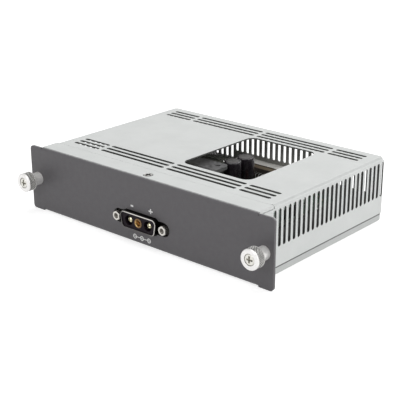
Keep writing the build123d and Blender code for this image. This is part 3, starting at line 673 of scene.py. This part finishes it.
def make_glass():
    """Clear glass with faint smears."""
    look = Look("clear_glass", Transmission_Weight=1.0, IOR=1.47)
    smear = look.noise(1.8)
    look.colour(look.ramp(smear, [(0.3, (0.90, 0.93, 0.92)), (0.7, (0.97, 0.99, 0.98))]))
    look.rough(look.noise(1.0), 0.02, 0.09)
    look.bump(smear, 0.004)
    return look.material


looks = {
    "cover": make_cover(),
    "tray": make_tray(),
    "panel": make_panel(),
    "nickel": plated("nickel_plate", (0.70, 0.69, 0.66), (0.58, 0.57, 0.54), 0.24, 0.4),
    "knob": make_knob_metal(),
    "ferrule": tinted("turned_ferrule", (0.96, 0.95, 0.93), (0.90, 0.89, 0.87), roughness=(0.26, 0.38),
                      bump=0.004, Metallic=0.35),
    "thumb": make_thumb_metal(),
    "jack": make_jack_metal(),
    "zinc": plated("zinc_screw", (0.60, 0.60, 0.58), (0.50, 0.50, 0.48), 0.28, 0.42),
    "case_screw": make_case_screw(),
    "spring": plated("spring_wire", (0.55, 0.54, 0.52), (0.45, 0.44, 0.42), 0.22, 0.36),
    "inlet": make_inlet_shell(),
    "pale_gold": tinted("pale_contact", (1.0, 0.96, 0.72), (0.96, 0.90, 0.62), size=1.0,
                        roughness=(0.2, 0.3), bump=0.003, Metallic=0.75),
    "copper_gold": make_socket_metal(),
    "tin": plated("tin_lead", (0.74, 0.74, 0.73), (0.60, 0.60, 0.58), 0.25, 0.42),
    "copper": plated("enamelled_wire", (0.62, 0.26, 0.10), (0.44, 0.17, 0.07), 0.18, 0.3),
    "black": tinted("moulded_black", (0.009, 0.005, 0.009), (0.006, 0.003, 0.006),
                    roughness=(0.5, 0.65), Specular_IOR_Level=0.15),
    "package": tinted("package_black", (0.030, 0.029, 0.029), (0.020, 0.020, 0.020),
                      bump=0.012, grain=0.18),
    "board": make_board(),
    "sleeve": make_sleeve(),
    "can_top": tinted("can_top", (0.110, 0.106, 0.104), (0.085, 0.082, 0.080), size=1.6,
                      roughness=(0.36, 0.5), bump=0.004, Metallic=0.4),
    "anodised": make_plate(),
    "ferrite": tinted("ferrite", (0.17, 0.175, 0.15), (0.11, 0.115, 0.10), size=0.8,
                      roughness=(0.5, 0.7), bump=0.02, grain=0.15),
    "tape": make_tape(),
    "bobbin": tinted("bobbin_plastic", (0.022, 0.022, 0.020), (0.015, 0.015, 0.014)),
    "film": tinted("film_case", (0.42, 0.33, 0.045), (0.34, 0.26, 0.035), roughness=(0.3, 0.45)),
    "glass": make_glass(),
    "cream": make_nylon(),
    # Dark brown for the strip that stands in for the shade on the connector's face
    "brown": tinted("connector_shade_brown", (0.10, 0.085, 0.07), (0.07, 0.058, 0.047)),
    "coated": make_coated_board(),
    "ceramic": tinted("chip_ceramic", (0.42, 0.33, 0.24), (0.34, 0.26, 0.18), size=0.5),
    "ink": tinted("white_ink", (0.97, 0.97, 0.96), (0.90, 0.90, 0.89), size=0.6,
                  roughness=(0.45, 0.6), bump=0.004, grain=0.12),
}


# Materials on the nodes that are shown as they come
SHOWN = {
    "panel": ["front_panel"],
    "cover": ["cover"],
    "tray": ["base_tray"],
    "zinc": ["top_press_nut", "bottom_press_nuts", "rear_press_nuts", "inlet_brackets",
             "left_thumb_washer", "right_thumb_washer", "transistor_screws"],
    "nickel": ["board_standoffs"],
    "ferrule": ["left_ferrule", "right_ferrule"],
    "inlet": ["inlet_shell"],
    "black": ["inlet_insulator"],
    "board": ["circuit_board"],
    "coated": ["control_board"],
    "anodised": ["transistor_heatsink", "side_heatsink"],
    "package": ["transistors", "control_chips"],
    "ferrite": ["transformer_core", "choke_core"],
    "bobbin": ["transformer_bobbin"],
    "tape": ["transformer_winding"],
    "film": ["film_capacitor"],
    "glass": ["fuse_tube"],
    "tin": ["fuse_caps", "fuse_clips", "output_pins"],
    "cream": ["output_connector"],
}
for look_name, node_names in SHOWN.items():
    for node_name in node_names:
        slots = nodes[node_name].data.materials
        slots.clear()
        slots.append(looks[look_name])


# Screws with a tapered cross recess
def cross_cutter(turn, face, outward, reach, depth, width):
    """Two crossed wedges that narrow towards the bottom of the recess."""
    parts = []
    top = face + outward * 0.2
    bottom = face - outward * depth
    for across in (0, 1):
        rows = []
        for height, long_half, short_half in ((top, reach * 1.08, width * 0.56),
                                              (bottom, reach * 0.45, width * 0.36)):
            for a, b in ((-1, -1), (1, -1), (1, 1), (-1, 1)):
                x, y = a * long_half, b * short_half
                rows.append(turn(y, x, height) if across else turn(x, y, height))
        faces = [[0, 1, 2, 3], [4, 5, 6, 7], [0, 1, 5, 4], [1, 2, 6, 5], [2, 3, 7, 6], [3, 0, 4, 7]]
        parts.append((rows, faces))
    return parts


def thread_shape(sizes, start, end, run_out):
    """Radius of a screw thread at a height and angle, fading at both ends."""
    outer, core, pitch = sizes

    def shape(radius, height, angle):
        phase = ((height - start) / pitch - angle / (2 * pi)) % 1.0
        ridge = 1.0 - abs(2.0 * phase - 1.0)
        ridge = min(1.0, max(0.0, ridge * 1.5 - 0.25))
        fade = min(1.0, max(0.0, min(height - start, end - height) / run_out))
        return core + (outer - core) * ridge * fade

    return shape


def thread(turn, sizes, start, end):
    """Closed threaded rod from start to end."""
    outer, _, pitch = sizes
    low, high = sorted((start, end))
    rows = int((high - low) / pitch * THREAD_STEPS) + 1
    profile = [(0, low)]
    profile += [(outer, low + (high - low) * i / (rows - 1)) for i in range(rows)]
    profile.append((0, high))
    return lathe(profile, turn, THREAD_SEGMENTS, thread_shape(sizes, low, high, pitch))


def screw_head(name, head, shank, turn, face, outward, look, recess):
    """Turned head with a cross recess of the given reach, depth and width, and its threaded shank."""
    obj = piece(name, [lathe(head, turn, 40)], look, smooth=CRISP)
    for part_points, part_faces in cross_cutter(turn, face, outward, *recess):
        cut(obj, part_points, part_faces)
    add_mesh(obj, shank)
    return obj


def add_mesh(obj, part):
    """Add loose (points, faces) to a piece's mesh."""
    points, faces = part

    def add(work):
        verts = [work.verts.new(at(*p)) for p in points]
        added = [work.faces.new([verts[i] for i in face]) for face in faces]
        bmesh.ops.recalc_face_normals(work, faces=added)

    edit(obj.data, add)
    shade(obj.data, CRISP)


def merge_pieces(name, objects, body, stands_for):
    """Join separate pieces into one that stands for a node."""
    target, *others = objects

    def add(work):
        for obj in others:
            work.from_mesh(obj.data)

    edit(target.data, add)
    target.data.set_sharp_from_angle(angle=radians(CRISP))
    target.name = name
    for obj in others:
        bpy.data.objects.remove(obj)
    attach(target, body)
    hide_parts(stands_for)


def sunk_profile(face, up):
    """Countersunk head, from its face down to the shank."""
    return [(0, face), (2.15, face), (2.45, face - up * 0.09), (2.8, face - up * 0.26),
            (1.52, face - up * 1.34), (0, face - up * 1.34)]


def sunk_screw(name, x, y, face, up):
    turn = along_z(x, y)
    shank = thread(turn, M3, face - up * 1.3, face - up * CASE_SCREW_LENGTH)
    return screw_head(name, sunk_profile(face, up), shank, turn, face, up, "case_screw", (2.0, 1.1, 0.95))


def pan_screw(name, turn, seat, height, radius, end, recess):
    """Screw with a rounded head on its seat and a thread down to its end."""
    steps = [(0.0, 0.0), (1.0, 0.0), (1.0, 0.42), (0.95, 0.68), (0.82, 0.88), (0.6, 0.98), (0.0, 1.0)]
    head = [(radius * r, seat + height * h) for r, h in steps]
    return screw_head(name, head, thread(turn, M3, seat, end), turn, seat + height, 1, "zinc", recess)


def make_case_screws():
    top = sunk_screw("top_screw_detail", TOP_SCREW_X, FLANGE_SCREW_Y, BODY_HEIGHT, 1)
    merge_pieces("top_screw_detail", [top], "case", "top_screw")
    under = [sunk_screw("under_" + str(i), x, FLANGE_SCREW_Y, 0.0, -1)
             for i, x in enumerate(BOTTOM_SCREW_X)]
    merge_pieces("bottom_screws_detail", under, "case", "bottom_screws")
    rear = [pan_screw("rear_" + str(i), along_y(x, REAR_SCREW_Z), BODY_DEPTH, 1.7, 2.7,
                      BODY_DEPTH - CASE_SCREW_LENGTH, (1.7, 1.1, 0.75)) for i, x in enumerate(REAR_SCREW_X)]
    merge_pieces("rear_screws_detail", rear, "case", "rear_screws")


def make_board_screws():
    places = [(x, y) for y in BOARD_SCREW_Y for x in BOARD_SCREW_X]
    screws = [pan_screw("board_" + str(i), along_z(*place), BOARD_TOP, 1.6, 2.6, 3.4, (1.6, 1.0, 0.75))
              for i, place in enumerate(places)]
    merge_pieces("board_screws_detail", screws, "case", "board_screws")


# Captive thumbscrews
KNOB_FRONT = -11.4
KNOB_BACK = -5.8
KNOB_RADIUS = 5.4
KNURL_START = KNOB_FRONT + 1.0
KNURL_END = KNOB_BACK - 0.55
KNURL_TURNS = 30
KNURL_PITCH = 1.13
KNURL_DEPTH = 0.32
KNURL_ROWS = 44
HEAD_SEAT = KNOB_FRONT + 0.8
NECK_RADIUS = 1.22
SPRING_WIRE = 0.225
SPRING_RADIUS = 2.1
SPRING_TURNS = 6.4


def knurled(radius, height, angle):
    """Diamond knurl on the knob's cylinder between its two smooth ends."""
    if radius < KNOB_RADIUS - 0.2 or not KNURL_START < height < KNURL_END:
        return radius
    round_share = angle / (2 * pi) * KNURL_TURNS
    along = (height - KNOB_FRONT) / KNURL_PITCH
    first = (round_share + along) % 1.0
    second = (round_share - along) % 1.0
    depth = max(abs(first - 0.5), abs(second - 0.5)) * 2.0
    ends = min(1.0, (height - KNURL_START) / 0.25, (KNURL_END - height) / 0.25)
    return radius - KNURL_DEPTH * depth ** 1.4 * ends


def make_knob(side, name):
    """Hollow knob: counterbored mouth, knurled cylinder and the well for the spring."""
    front = [(NECK_RADIUS, HEAD_SEAT), (2.92, HEAD_SEAT), (3.0, KNOB_FRONT + 0.7), (3.0, KNOB_FRONT + 0.14),
             (3.14, KNOB_FRONT), (4.75, KNOB_FRONT), (5.0, KNOB_FRONT + 0.07), (5.25, KNOB_FRONT + 0.28),
             (5.38, KNOB_FRONT + 0.6), (KNOB_RADIUS, KNOB_FRONT + 0.95)]
    length = KNURL_END - KNURL_START
    middle = [(KNOB_RADIUS, KNURL_START + length * i / KNURL_ROWS) for i in range(KNURL_ROWS + 1)]
    back = [(5.38, KNOB_BACK - 0.4), (5.15, KNOB_BACK - 0.08), (4.95, KNOB_BACK), (3.85, KNOB_BACK),
            (3.68, KNOB_BACK - 0.12), (3.68, -9.7), (NECK_RADIUS, -9.7), (NECK_RADIUS, HEAD_SEAT)]
    knob = lathe(front + middle + back, along_y(side * THUMB_X, THUMB_Z), 264, knurled)
    piece(name + "_knob_detail", [knob], "knob", name + "_thumbscrew", smooth=28,
          stands_for=name + "_knob")


def make_thumb_screw(side, name):
    """Screw in the knob's mouth: flat head, plain neck and threaded stud."""
    turn = along_y(side * THUMB_X, THUMB_Z)
    face = HEAD_SEAT - 0.7
    stud = 1.8
    head = [(0, HEAD_SEAT), (2.78, HEAD_SEAT), (2.78, HEAD_SEAT - 0.5), (2.7, face + 0.12),
            (2.56, face + 0.03), (2.3, face), (0, face)]
    neck = lathe([(0, HEAD_SEAT), (1.2, HEAD_SEAT), (1.2, stud), (0, stud)], turn, 36)
    shank = join_parts([neck, thread(turn, STUD_THREAD, stud, 6.4)])
    obj = screw_head(name + "_thumb", head, shank, turn, face, -1, "thumb", (2.2, 0.62, 1.0))
    merge_pieces(name + "_thumb_screw_detail", [obj], name + "_thumbscrew", name + "_thumb_screw")


def make_spring(side, name):
    """Round-wire coil between the ferrule's seat and the washer, with closed ends."""
    x = side * THUMB_X
    front, back = -9.1 + SPRING_WIRE, 0.2 - SPRING_WIRE
    steps = int(SPRING_TURNS * 28)
    path = []
    for i in range(steps + 1):
        share = i / steps
        angle = 2 * pi * SPRING_TURNS * share
        ease = min(1.0, max(0.0, (share * SPRING_TURNS - 0.8) / (SPRING_TURNS - 1.6)))
        path.append((x + SPRING_RADIUS * cos(angle), front + (back - front) * ease,
                     THUMB_Z + SPRING_RADIUS * sin(angle)))
    obj = piece(name + "_spring_detail", [tube(path, SPRING_WIRE)], "spring",
                stands_for=name + "_thumb_spring")
    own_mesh(obj)


# Power inlet
CONTACT_PITCH = 6.86
CONTACT_RADIUS = 1.8
CONTACT_END = 12.4


def make_jackscrews():
    """Hex posts beside the inlet, threaded inside and on their rear ends."""
    face, back, end = -2.0, 1.6, 7.6
    parts = []
    for side in (-1, 1):
        turn = along_y(side * JACK_X, INLET_Z)
        parts.append(hex_post(turn, 2.4, face, back))
        parts.append(bore(turn, JACK_THREAD, face, back - 0.2))
        parts.append(thread(turn, JACK_THREAD, back, end))
    piece("jackscrews_detail", parts, "jack", smooth=25, stands_for="jackscrews")


def hex_post(turn, flat, face, back):
    """Hexagonal post whose front corners are turned down, open at its bore."""
    corner = flat / cos(pi / 6)

    def shape(radius, height, angle):
        if radius < 0.5:
            return radius
        sector = (angle + pi / 6) % (pi / 3) - pi / 6
        hexagon = flat / cos(sector)
        turned = corner - turned_down + min(turned_down, (height - face) * 1.5)
        return min(hexagon, turned if radius > flat * 0.99 else radius)

    turned_down = 0.42
    profile = [(1.5, face + 0.02), (1.62, face), (2.05, face), (corner, face + 0.02)]
    profile += [(corner, face + 0.06 * i) for i in range(1, 7)]
    profile += [(corner, back), (1.0, back)]
    return lathe(profile, turn, 96, shape)


def bore(turn, sizes, start, end):
    """Threaded hole from start down to a closed end."""
    outer, _, pitch = sizes
    rows = int(abs(end - start) / pitch * THREAD_STEPS) + 1
    mouth = start + 0.1
    profile = [(outer + 0.08, start + 0.02)]
    profile += [(outer, mouth + (end - mouth) * i / (rows - 1)) for i in range(rows)]
    profile.append((0, end))
    grooves = thread_shape(sizes, start - pitch, end + pitch, 0.01)

    def shape(radius, height, angle):
        return radius if radius > outer + 0.05 else grooves(radius, height, angle)

    return lathe(profile, turn, THREAD_SEGMENTS, shape)


def make_contacts():
    """Two slit pins beside a bored socket, each with a tail down to the board."""
    tail_radius, tail_end, tail_y = 0.8, 4.9, 11.6
    tail = [(0, tail_end), (tail_radius, tail_end), (tail_radius, INLET_Z), (0, INLET_Z)]
    for i, x in enumerate((-CONTACT_PITCH, 0.0, CONTACT_PITCH)):
        obj = contact_socket(x) if x == 0 else contact_pin(i, x)
        add_mesh(obj, lathe(tail, along_z(x, tail_y), 20))
        if i == 0:
            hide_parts("inlet_contacts")


def contact_pin(i, x):
    """Round-nosed pin, slit crosswise so that it springs in its mate."""
    front, slit, half_slit = -1.6, 2.6, 0.22
    across = CONTACT_RADIUS + 0.1
    profile = [(0, front), (0.5, front + 0.05), (1.0, front + 0.22), (1.4, front + 0.52),
               (1.68, front + 0.95), (CONTACT_RADIUS, front + 1.5), (CONTACT_RADIUS, CONTACT_END),
               (0, CONTACT_END)]
    pin = lathe(profile, along_y(x, INLET_Z))
    obj = piece("contact_pin_" + str(i), [pin], "pale_gold", smooth=40)
    for wide, thin in ((across, half_slit), (half_slit, across)):
        cut(obj, *box(x - wide, x + wide, front - 1, front + slit, INLET_Z - thin, INLET_Z + thin))
    return obj


def contact_socket(x):
    """Socket with a collar around its mouth."""
    front, bottom, collar, collar_end = -2.5, 3.5, 2.6, 4.7
    profile = [(0, bottom), (CONTACT_RADIUS, bottom), (CONTACT_RADIUS, front + 0.25), (1.95, front),
               (2.45, front), (collar, front + 0.15), (collar, collar_end), (CONTACT_RADIUS, collar_end),
               (CONTACT_RADIUS, CONTACT_END), (0, CONTACT_END)]
    return piece("contact_socket", [lathe(profile, along_y(x, INLET_Z))], "copper_gold", smooth=CRISP)


# White marks on the front panel
INK = 0.03
SIGN_PITCH = 5.1


def make_marks():
    """Minus and plus over the inlet, and the polarity diagram under it."""
    turn = along_y(0, 0)
    marks = [flat_bar(turn, -6.4, 20.5, 1.9, 0.95, 0.0)]
    marks.append(flat_bar(turn, 7.2, 20.7, 2.8, 0.72, 0.004))
    marks.append(flat_bar(turn, 7.2, 20.7, 0.72, 2.8, 0.008))
    piece("polarity_marks", marks + polarity_diagram(0.4, 3.8), "ink")


def polarity_diagram(cx, cz):
    """Printed sign of the inlet's polarity: two ringed signs joined through a ringed dot."""
    turn = along_y(cx, cz)
    parts = [flat_ring(turn, place * SIGN_PITCH, 1.35, 0.48) for place in (-1, 0, 1)]
    parts.append(flat_ring(turn, 0.0, 0.5, 0.5))
    for side in (-1, 1):
        parts.append(flat_bar(turn, side * SIGN_PITCH / 2, 0.0, 2.5, 0.42))
        parts.append(flat_bar(turn, side * SIGN_PITCH, 0.0, 1.5, 0.36))
    parts.append(flat_bar(turn, SIGN_PITCH, 0.0, 0.36, 1.5))
    return parts


def flat_ring(turn, cx, outer, width):
    """Printed ring, or a disc where the width is the radius."""
    inner = outer - width
    profile = [(inner, -INK), (outer, -INK), (outer, 0.0), (inner, 0.0)]
    return lathe(profile, lambda a, b, h: turn(cx + a, b, h), 32)


def flat_bar(turn, cx, cz, wide, high, lift=0.004):
    """Printed bar, lifted a little where it crosses another mark."""
    outline = [(cx - wide / 2, cz - high / 2), (cx + wide / 2, cz - high / 2),
               (cx + wide / 2, cz + high / 2), (cx - wide / 2, cz + high / 2)]
    return prism(outline, -INK - lift, 0.0, turn)


# Capacitors
def can_parts(x, y, radius, height):
    """Sleeve rolled over the can's shoulder, and the scored metal top inside it."""
    turn = along_z(x, y)
    top = BOARD_TOP + height
    sleeve = [(radius * 0.86, BOARD_TOP), (radius, BOARD_TOP + 0.15), (radius, BOARD_TOP + 1.7),
              (radius - 0.12, BOARD_TOP + 2.0), (radius - 0.3, BOARD_TOP + 2.4),
              (radius - 0.12, BOARD_TOP + 2.8), (radius, BOARD_TOP + 3.1), (radius, top - 0.9),
              (radius - 0.06, top - 0.45), (radius - 0.25, top - 0.15), (radius - 0.55, top - 0.01),
              (radius - 0.95, top), (radius - 1.15, top - 0.05), (radius - 1.2, top - 0.2)]
    return lathe(sleeve, turn, 56), can_top(turn, radius - 1.15, top - 0.17)


def can_top(turn, radius, face):
    """Metal disc with three scored grooves that meet in the middle."""
    segments, rings = 96, 22
    first_groove, half_width, depth, reach = 0.5, 0.22, 0.12, radius * 0.82
    third = 2 * pi / 3
    points, faces = [turn(0, 0, face - 0.1)], []
    for i in range(1, rings + 1):
        r = radius * i / rings
        for k in range(segments):
            angle = 2 * pi * k / segments
            away = abs(r * sin((angle - first_groove + third / 2) % third - third / 2))
            groove = max(0.0, 1.0 - away / half_width) if r < reach else 0.0
            points.append(turn(r * cos(angle), r * sin(angle), face - depth * groove))
    for k in range(segments):
        faces.append([0, 1 + k, 1 + (k + 1) % segments])
    for i in range(rings - 1):
        for k in range(segments):
            m = (k + 1) % segments
            low, high = 1 + i * segments, 1 + (i + 1) * segments
            faces.append([low + k, low + m, high + m, high + k])
    return points, faces


def make_capacitors():
    """Round capacitors: per node the x, y and height of each, and their radius."""
    groups = [("window_capacitors", [(8.9, 75.6, 24.3), (7.6, 65.8, 23.9)], 4.9),
              ("bulk_capacitors", [(-56.0, 34.0, 24.0), (-56.0, 54.0, 24.0)], 9.0),
              ("filter_capacitors", [(-44.0, 94.0, 13.0), (-34.0, 94.0, 13.0)], 4.0)]
    for node, places, radius in groups:
        sleeves, tops = zip(*(can_parts(x, y, radius, height) for x, y, height in places))
        piece(node + "_sleeves", sleeves, "sleeve", stands_for=node)
        piece(node + "_tops", tops, "can_top")


# Windings
def make_choke_winding():
    """Two layers of wire around the choke's core, over an enamelled sleeve."""
    turn = along_z(CHOKE_X, CHOKE_Y)
    path = []
    turns, steps = 11, 40
    low, high = BOARD_TOP + 2.35, BOARD_TOP + 10.65
    for layer, radius in enumerate((5.2, 6.6)):
        for i in range(turns * steps + 1):
            share = i / (turns * steps)
            rise = share if layer == 0 else 1 - share
            angle = 2 * pi * turns * share
            path.append(turn(radius * cos(angle), radius * sin(angle), low + (high - low) * rise))
    inner, outer, start, end = 4.2, 6.35, low - 0.3, high + 0.3
    core = lathe([(inner, start), (outer, start), (outer, end), (inner, end), (inner, start)], turn)
    piece("choke_winding_detail", [tube(path, 0.38), core], "copper", stands_for="choke_winding")


def make_transformer_wires():
    """Winding ends that run from the coil to the pins beside the core."""
    parts = []
    for i in range(4):
        for end in (-1, 1):
            x = -16.2 + i * 2.1
            y = CORE_Y + end * 9.0
            path = [(x, y - end * 0.4, 15.2), (x, y + end * 0.5, 14.0), (x, y + end * 0.8, 12.0),
                    (x, y + end * 0.75, 9.6), (x, y + end * 0.7, BOARD_TOP - 0.1)]
            parts.append(tube(path, 0.32))
    piece("transformer_wires", parts, "copper")


def make_transformer_clip():
    """Spring wire that holds the two halves of the core together."""
    bow = [(-10.3, 15.0), (-10.35, 24.0), (-10.1, 27.2), (-9.4, 27.85), (0.0, 28.0),
           (9.4, 27.85), (10.1, 27.2), (10.35, 24.0), (10.3, 15.0)]
    clip = tube([(CORE_X + x, CORE_Y, z) for x, z in bow], 0.35)
    piece("transformer_clip", [clip], "tin")


# Small pieces on the board
# Ground that other pieces take, each with its low and high x and its low and high y
BUSY = [(-20, 20, 4, 14), (-66, -46, 24, 64), (-49, -29, 89, 99), (-43, 11, 42, 62), (2.5, 14.5, 60, 82),
        (-24, -2, 60, 82), (24, 40, 52, 68), (58.5, 64, 19, 59), (-21, 7, 21, 33), (29, 39, 21, 43),
        (-23, 23, 103, 112), (-69, -63, 18, 24), (63, 69, 18, 24), (-69, -63, 94, 100), (63, 69, 94, 100),
        (64, 75, 13, 99)]
BOARD_GRID = 5
SPREAD = 1.4
CLEARANCE = 1.8
PAD_PITCH = 2.54


def is_free(x, y):
    """Whether a small piece fits at x, y clear of everything else on the board."""
    return not any(low_x - CLEARANCE < x < high_x + CLEARANCE and low_y - CLEARANCE < y < high_y + CLEARANCE
                   for low_x, high_x, low_y, high_y in BUSY)


def make_small_pieces():
    """Chip resistors, chip capacitors, diodes and solder joints spread over the board."""
    bodies, ends, dark, solder = [], [], [], []
    for x0 in range(-68, 72, BOARD_GRID):
        for y0 in range(18, 104, BOARD_GRID):
            x, y = x0 + random.uniform(-SPREAD, SPREAD), y0 + random.uniform(-SPREAD, SPREAD)
            kind, turned = random.random(), random.random() < 0.5
            if not is_free(x, y):
                continue
            if kind < 0.55:
                small_chip(bodies, ends, x, y, turned, random.choice((0.55, 0.7)))
            elif kind < 0.8:
                small_diode(dark, ends, x, y, turned)
            else:
                solder.append(solder_joint(x, y))
                solder.append(solder_joint(x + PAD_PITCH if turned else x, y if turned else y + PAD_PITCH))
    piece("chip_parts", bodies, "ceramic")
    piece("chip_ends", ends, "tin")
    piece("diodes", dark, "package")
    piece("solder_joints", solder, "tin")


def board_block(x, y, turned, along, half_width, low, high, edge):
    """Block on the board around x, y that reaches from along[0] to along[1] on its long side."""
    across = (-half_width, half_width)
    (x0, x1), (y0, y1) = (across, along) if turned else (along, across)
    return bevelled_box(x + x0, x + x1, y + y0, y + y1, BOARD_TOP + low, BOARD_TOP + high, edge)


def small_chip(bodies, ends, x, y, turned, high):
    """Ceramic chip with a metal cap at each end."""
    half_length, half_width, cap = 1.0, 0.6, 0.28
    inner = half_length - cap
    bodies.append(board_block(x, y, turned, (-inner, inner), half_width, 0, high, 0.05))
    for reach in ((-half_length, -inner), (inner, half_length)):
        ends.append(board_block(x, y, turned, reach, half_width, 0, high + 0.02, 0.08))


def small_diode(dark, ends, x, y, turned):
    """Moulded diode with a lead at each end."""
    dark.append(board_block(x, y, turned, (-1.3, 1.3), 0.8, 0.1, 1.2, 0.15))
    for reach in ((-1.75, -1.2), (1.2, 1.75)):
        ends.append(board_block(x, y, turned, reach, 0.45, 0, 0.35, 0.08))


def solder_joint(x, y):
    """Cone of solder around the end of a lead."""
    profile = [(0.95, BOARD_TOP), (0.8, BOARD_TOP + 0.1), (0.5, BOARD_TOP + 0.35), (0.32, BOARD_TOP + 0.75),
               (0.26, BOARD_TOP + 1.0), (0, BOARD_TOP + 1.05)]
    return lathe(profile, along_z(x, y), 16)


def make_connector_details():
    """Dark strip along the lower part of the output connector's face as painted shade, and its leads down
    to the board.
    """
    # Painted shade: a dark strip where the connector's face lies in shade
    strip = bevelled_box(-21.5, 21.5, CONNECTOR_FACE - 0.6, CONNECTOR_FACE, BOARD_TOP, 15.0, 0.1)
    piece("connector_shade_strip", [strip], "brown")
    count, pitch, lead_y = 20, 2.08, 100.2
    leads = []
    for i in range(count):
        x = (i - (count - 1) / 2) * pitch
        leads.append(tube([(x, 103.7, 12.6), (x, 101.2, 12.6), (x, 100.5, 12.4), (x, lead_y, 11.8),
                           (x, lead_y, BOARD_TOP - 0.1)], 0.3))
    piece("connector_leads", leads, "tin")


# Stage, light and camera
def seen_directly(tree):
    """1 for what the camera sees, also in metal and through glass, and 0 for light on the object."""
    path = tree.nodes.new("ShaderNodeLightPath")
    seen = path.outputs["Is Camera Ray"]
    for kind in ("Is Glossy Ray", "Is Transmission Ray"):
        both = tree.nodes.new("ShaderNodeMath")
        both.operation = "MAXIMUM"
        tree.links.new(seen, both.inputs[0])
        tree.links.new(path.outputs[kind], both.inputs[1])
        seen = both.outputs[0]
    return seen


def make_stage():
    """Matt pale floor, a little brighter where it is seen directly."""
    mesh = bpy.data.meshes.new("floor")
    size = 4.0
    mesh.from_pydata([(-size, -size, 0), (size, -size, 0), (size, size, 0), (-size, size, 0)], [],
                     [[0, 1, 2, 3]])
    look = Look("pale_floor", roughness=0.9, Base_Color=(0.8, 0.8, 0.8, 1.0), Specular_IOR_Level=0.1,
                Emission_Color=(1.0, 1.0, 1.0, 1.0))
    look.link(look.times(seen_directly(look.tree), 0.6), look.shader.inputs["Emission Strength"])
    mesh.materials.append(look.material)
    floor = add_object("floor", mesh)
    floor.location.z = -0.00005


def make_world():
    """White behind the object, also as seen in metal and glass, and softer as light."""
    world = bpy.data.worlds.new("studio")
    bpy.context.scene.world = world
    world.use_nodes = True
    tree = world.node_tree
    background = tree.nodes["Background"]
    background.inputs["Color"].default_value = (1.0, 1.0, 1.0, 1.0)
    level = tree.nodes.new("ShaderNodeMapRange")
    level.inputs["To Min"].default_value = 0.40
    level.inputs["To Max"].default_value = 1.0
    tree.links.new(seen_directly(tree), level.inputs["Value"])
    tree.links.new(level.outputs["Result"], background.inputs["Strength"])


def make_lights():
    """Round lamps that face the object, each with its place, size and power."""
    target = Vector((0.0, 0.0, 0.02))
    for name, place, size, power in (("overhead", (0.0, 0.0, 1.1), 0.8, 2.4),
                                     ("back", (0.45, 0.75, 0.85), 0.7, 4.2),
                                     ("front", (0.05, -1.0, 0.62), 0.6, 2.1),
                                     ("right_fill", (1.0, -0.05, 0.45), 0.6, 1.7)):
        data = bpy.data.lights.new(name, "AREA")
        data.shape = "DISK"
        data.size = size
        data.energy = power
        lamp = add_object(name, data)
        lamp.location = place
        lamp.rotation_euler = (target - Vector(place)).to_track_quat("-Z", "Y").to_euler()


def make_camera():
    """Camera with the lens, place and turn that were fitted to the case's edges."""
    lens_in_pixels, picture_width, sensor_width = 1004.336, 400.0, 36.0
    data = bpy.data.cameras.new("view")
    data.sensor_width = sensor_width
    data.lens = lens_in_pixels * sensor_width / picture_width
    data.clip_start = 0.01
    data.clip_end = 20.0
    camera = add_object("view", data)
    right = Vector((0.75058752, 0.66075731, -0.00426052))
    up = Vector((-0.22963297, 0.26688673, 0.93597018))
    back = Vector((0.61958621, -0.70154918, 0.35205351))
    place = Matrix((right, up, back)).transposed().to_4x4()
    place.translation = at(345.66, -344.75, 208.43)
    camera.matrix_world = place
    bpy.context.scene.camera = camera


make_camera()
make_case_screws()
make_board_screws()
for side, name in ((-1, "left"), (1, "right")):
    make_knob(side, name)
    make_thumb_screw(side, name)
    make_spring(side, name)
make_jackscrews()
make_contacts()
make_marks()
make_capacitors()
make_choke_winding()
make_transformer_wires()
make_transformer_clip()
make_small_pieces()
make_connector_details()
make_stage()
make_world()
make_lights()
bpy.context.scene.view_settings.view_transform = "Standard"
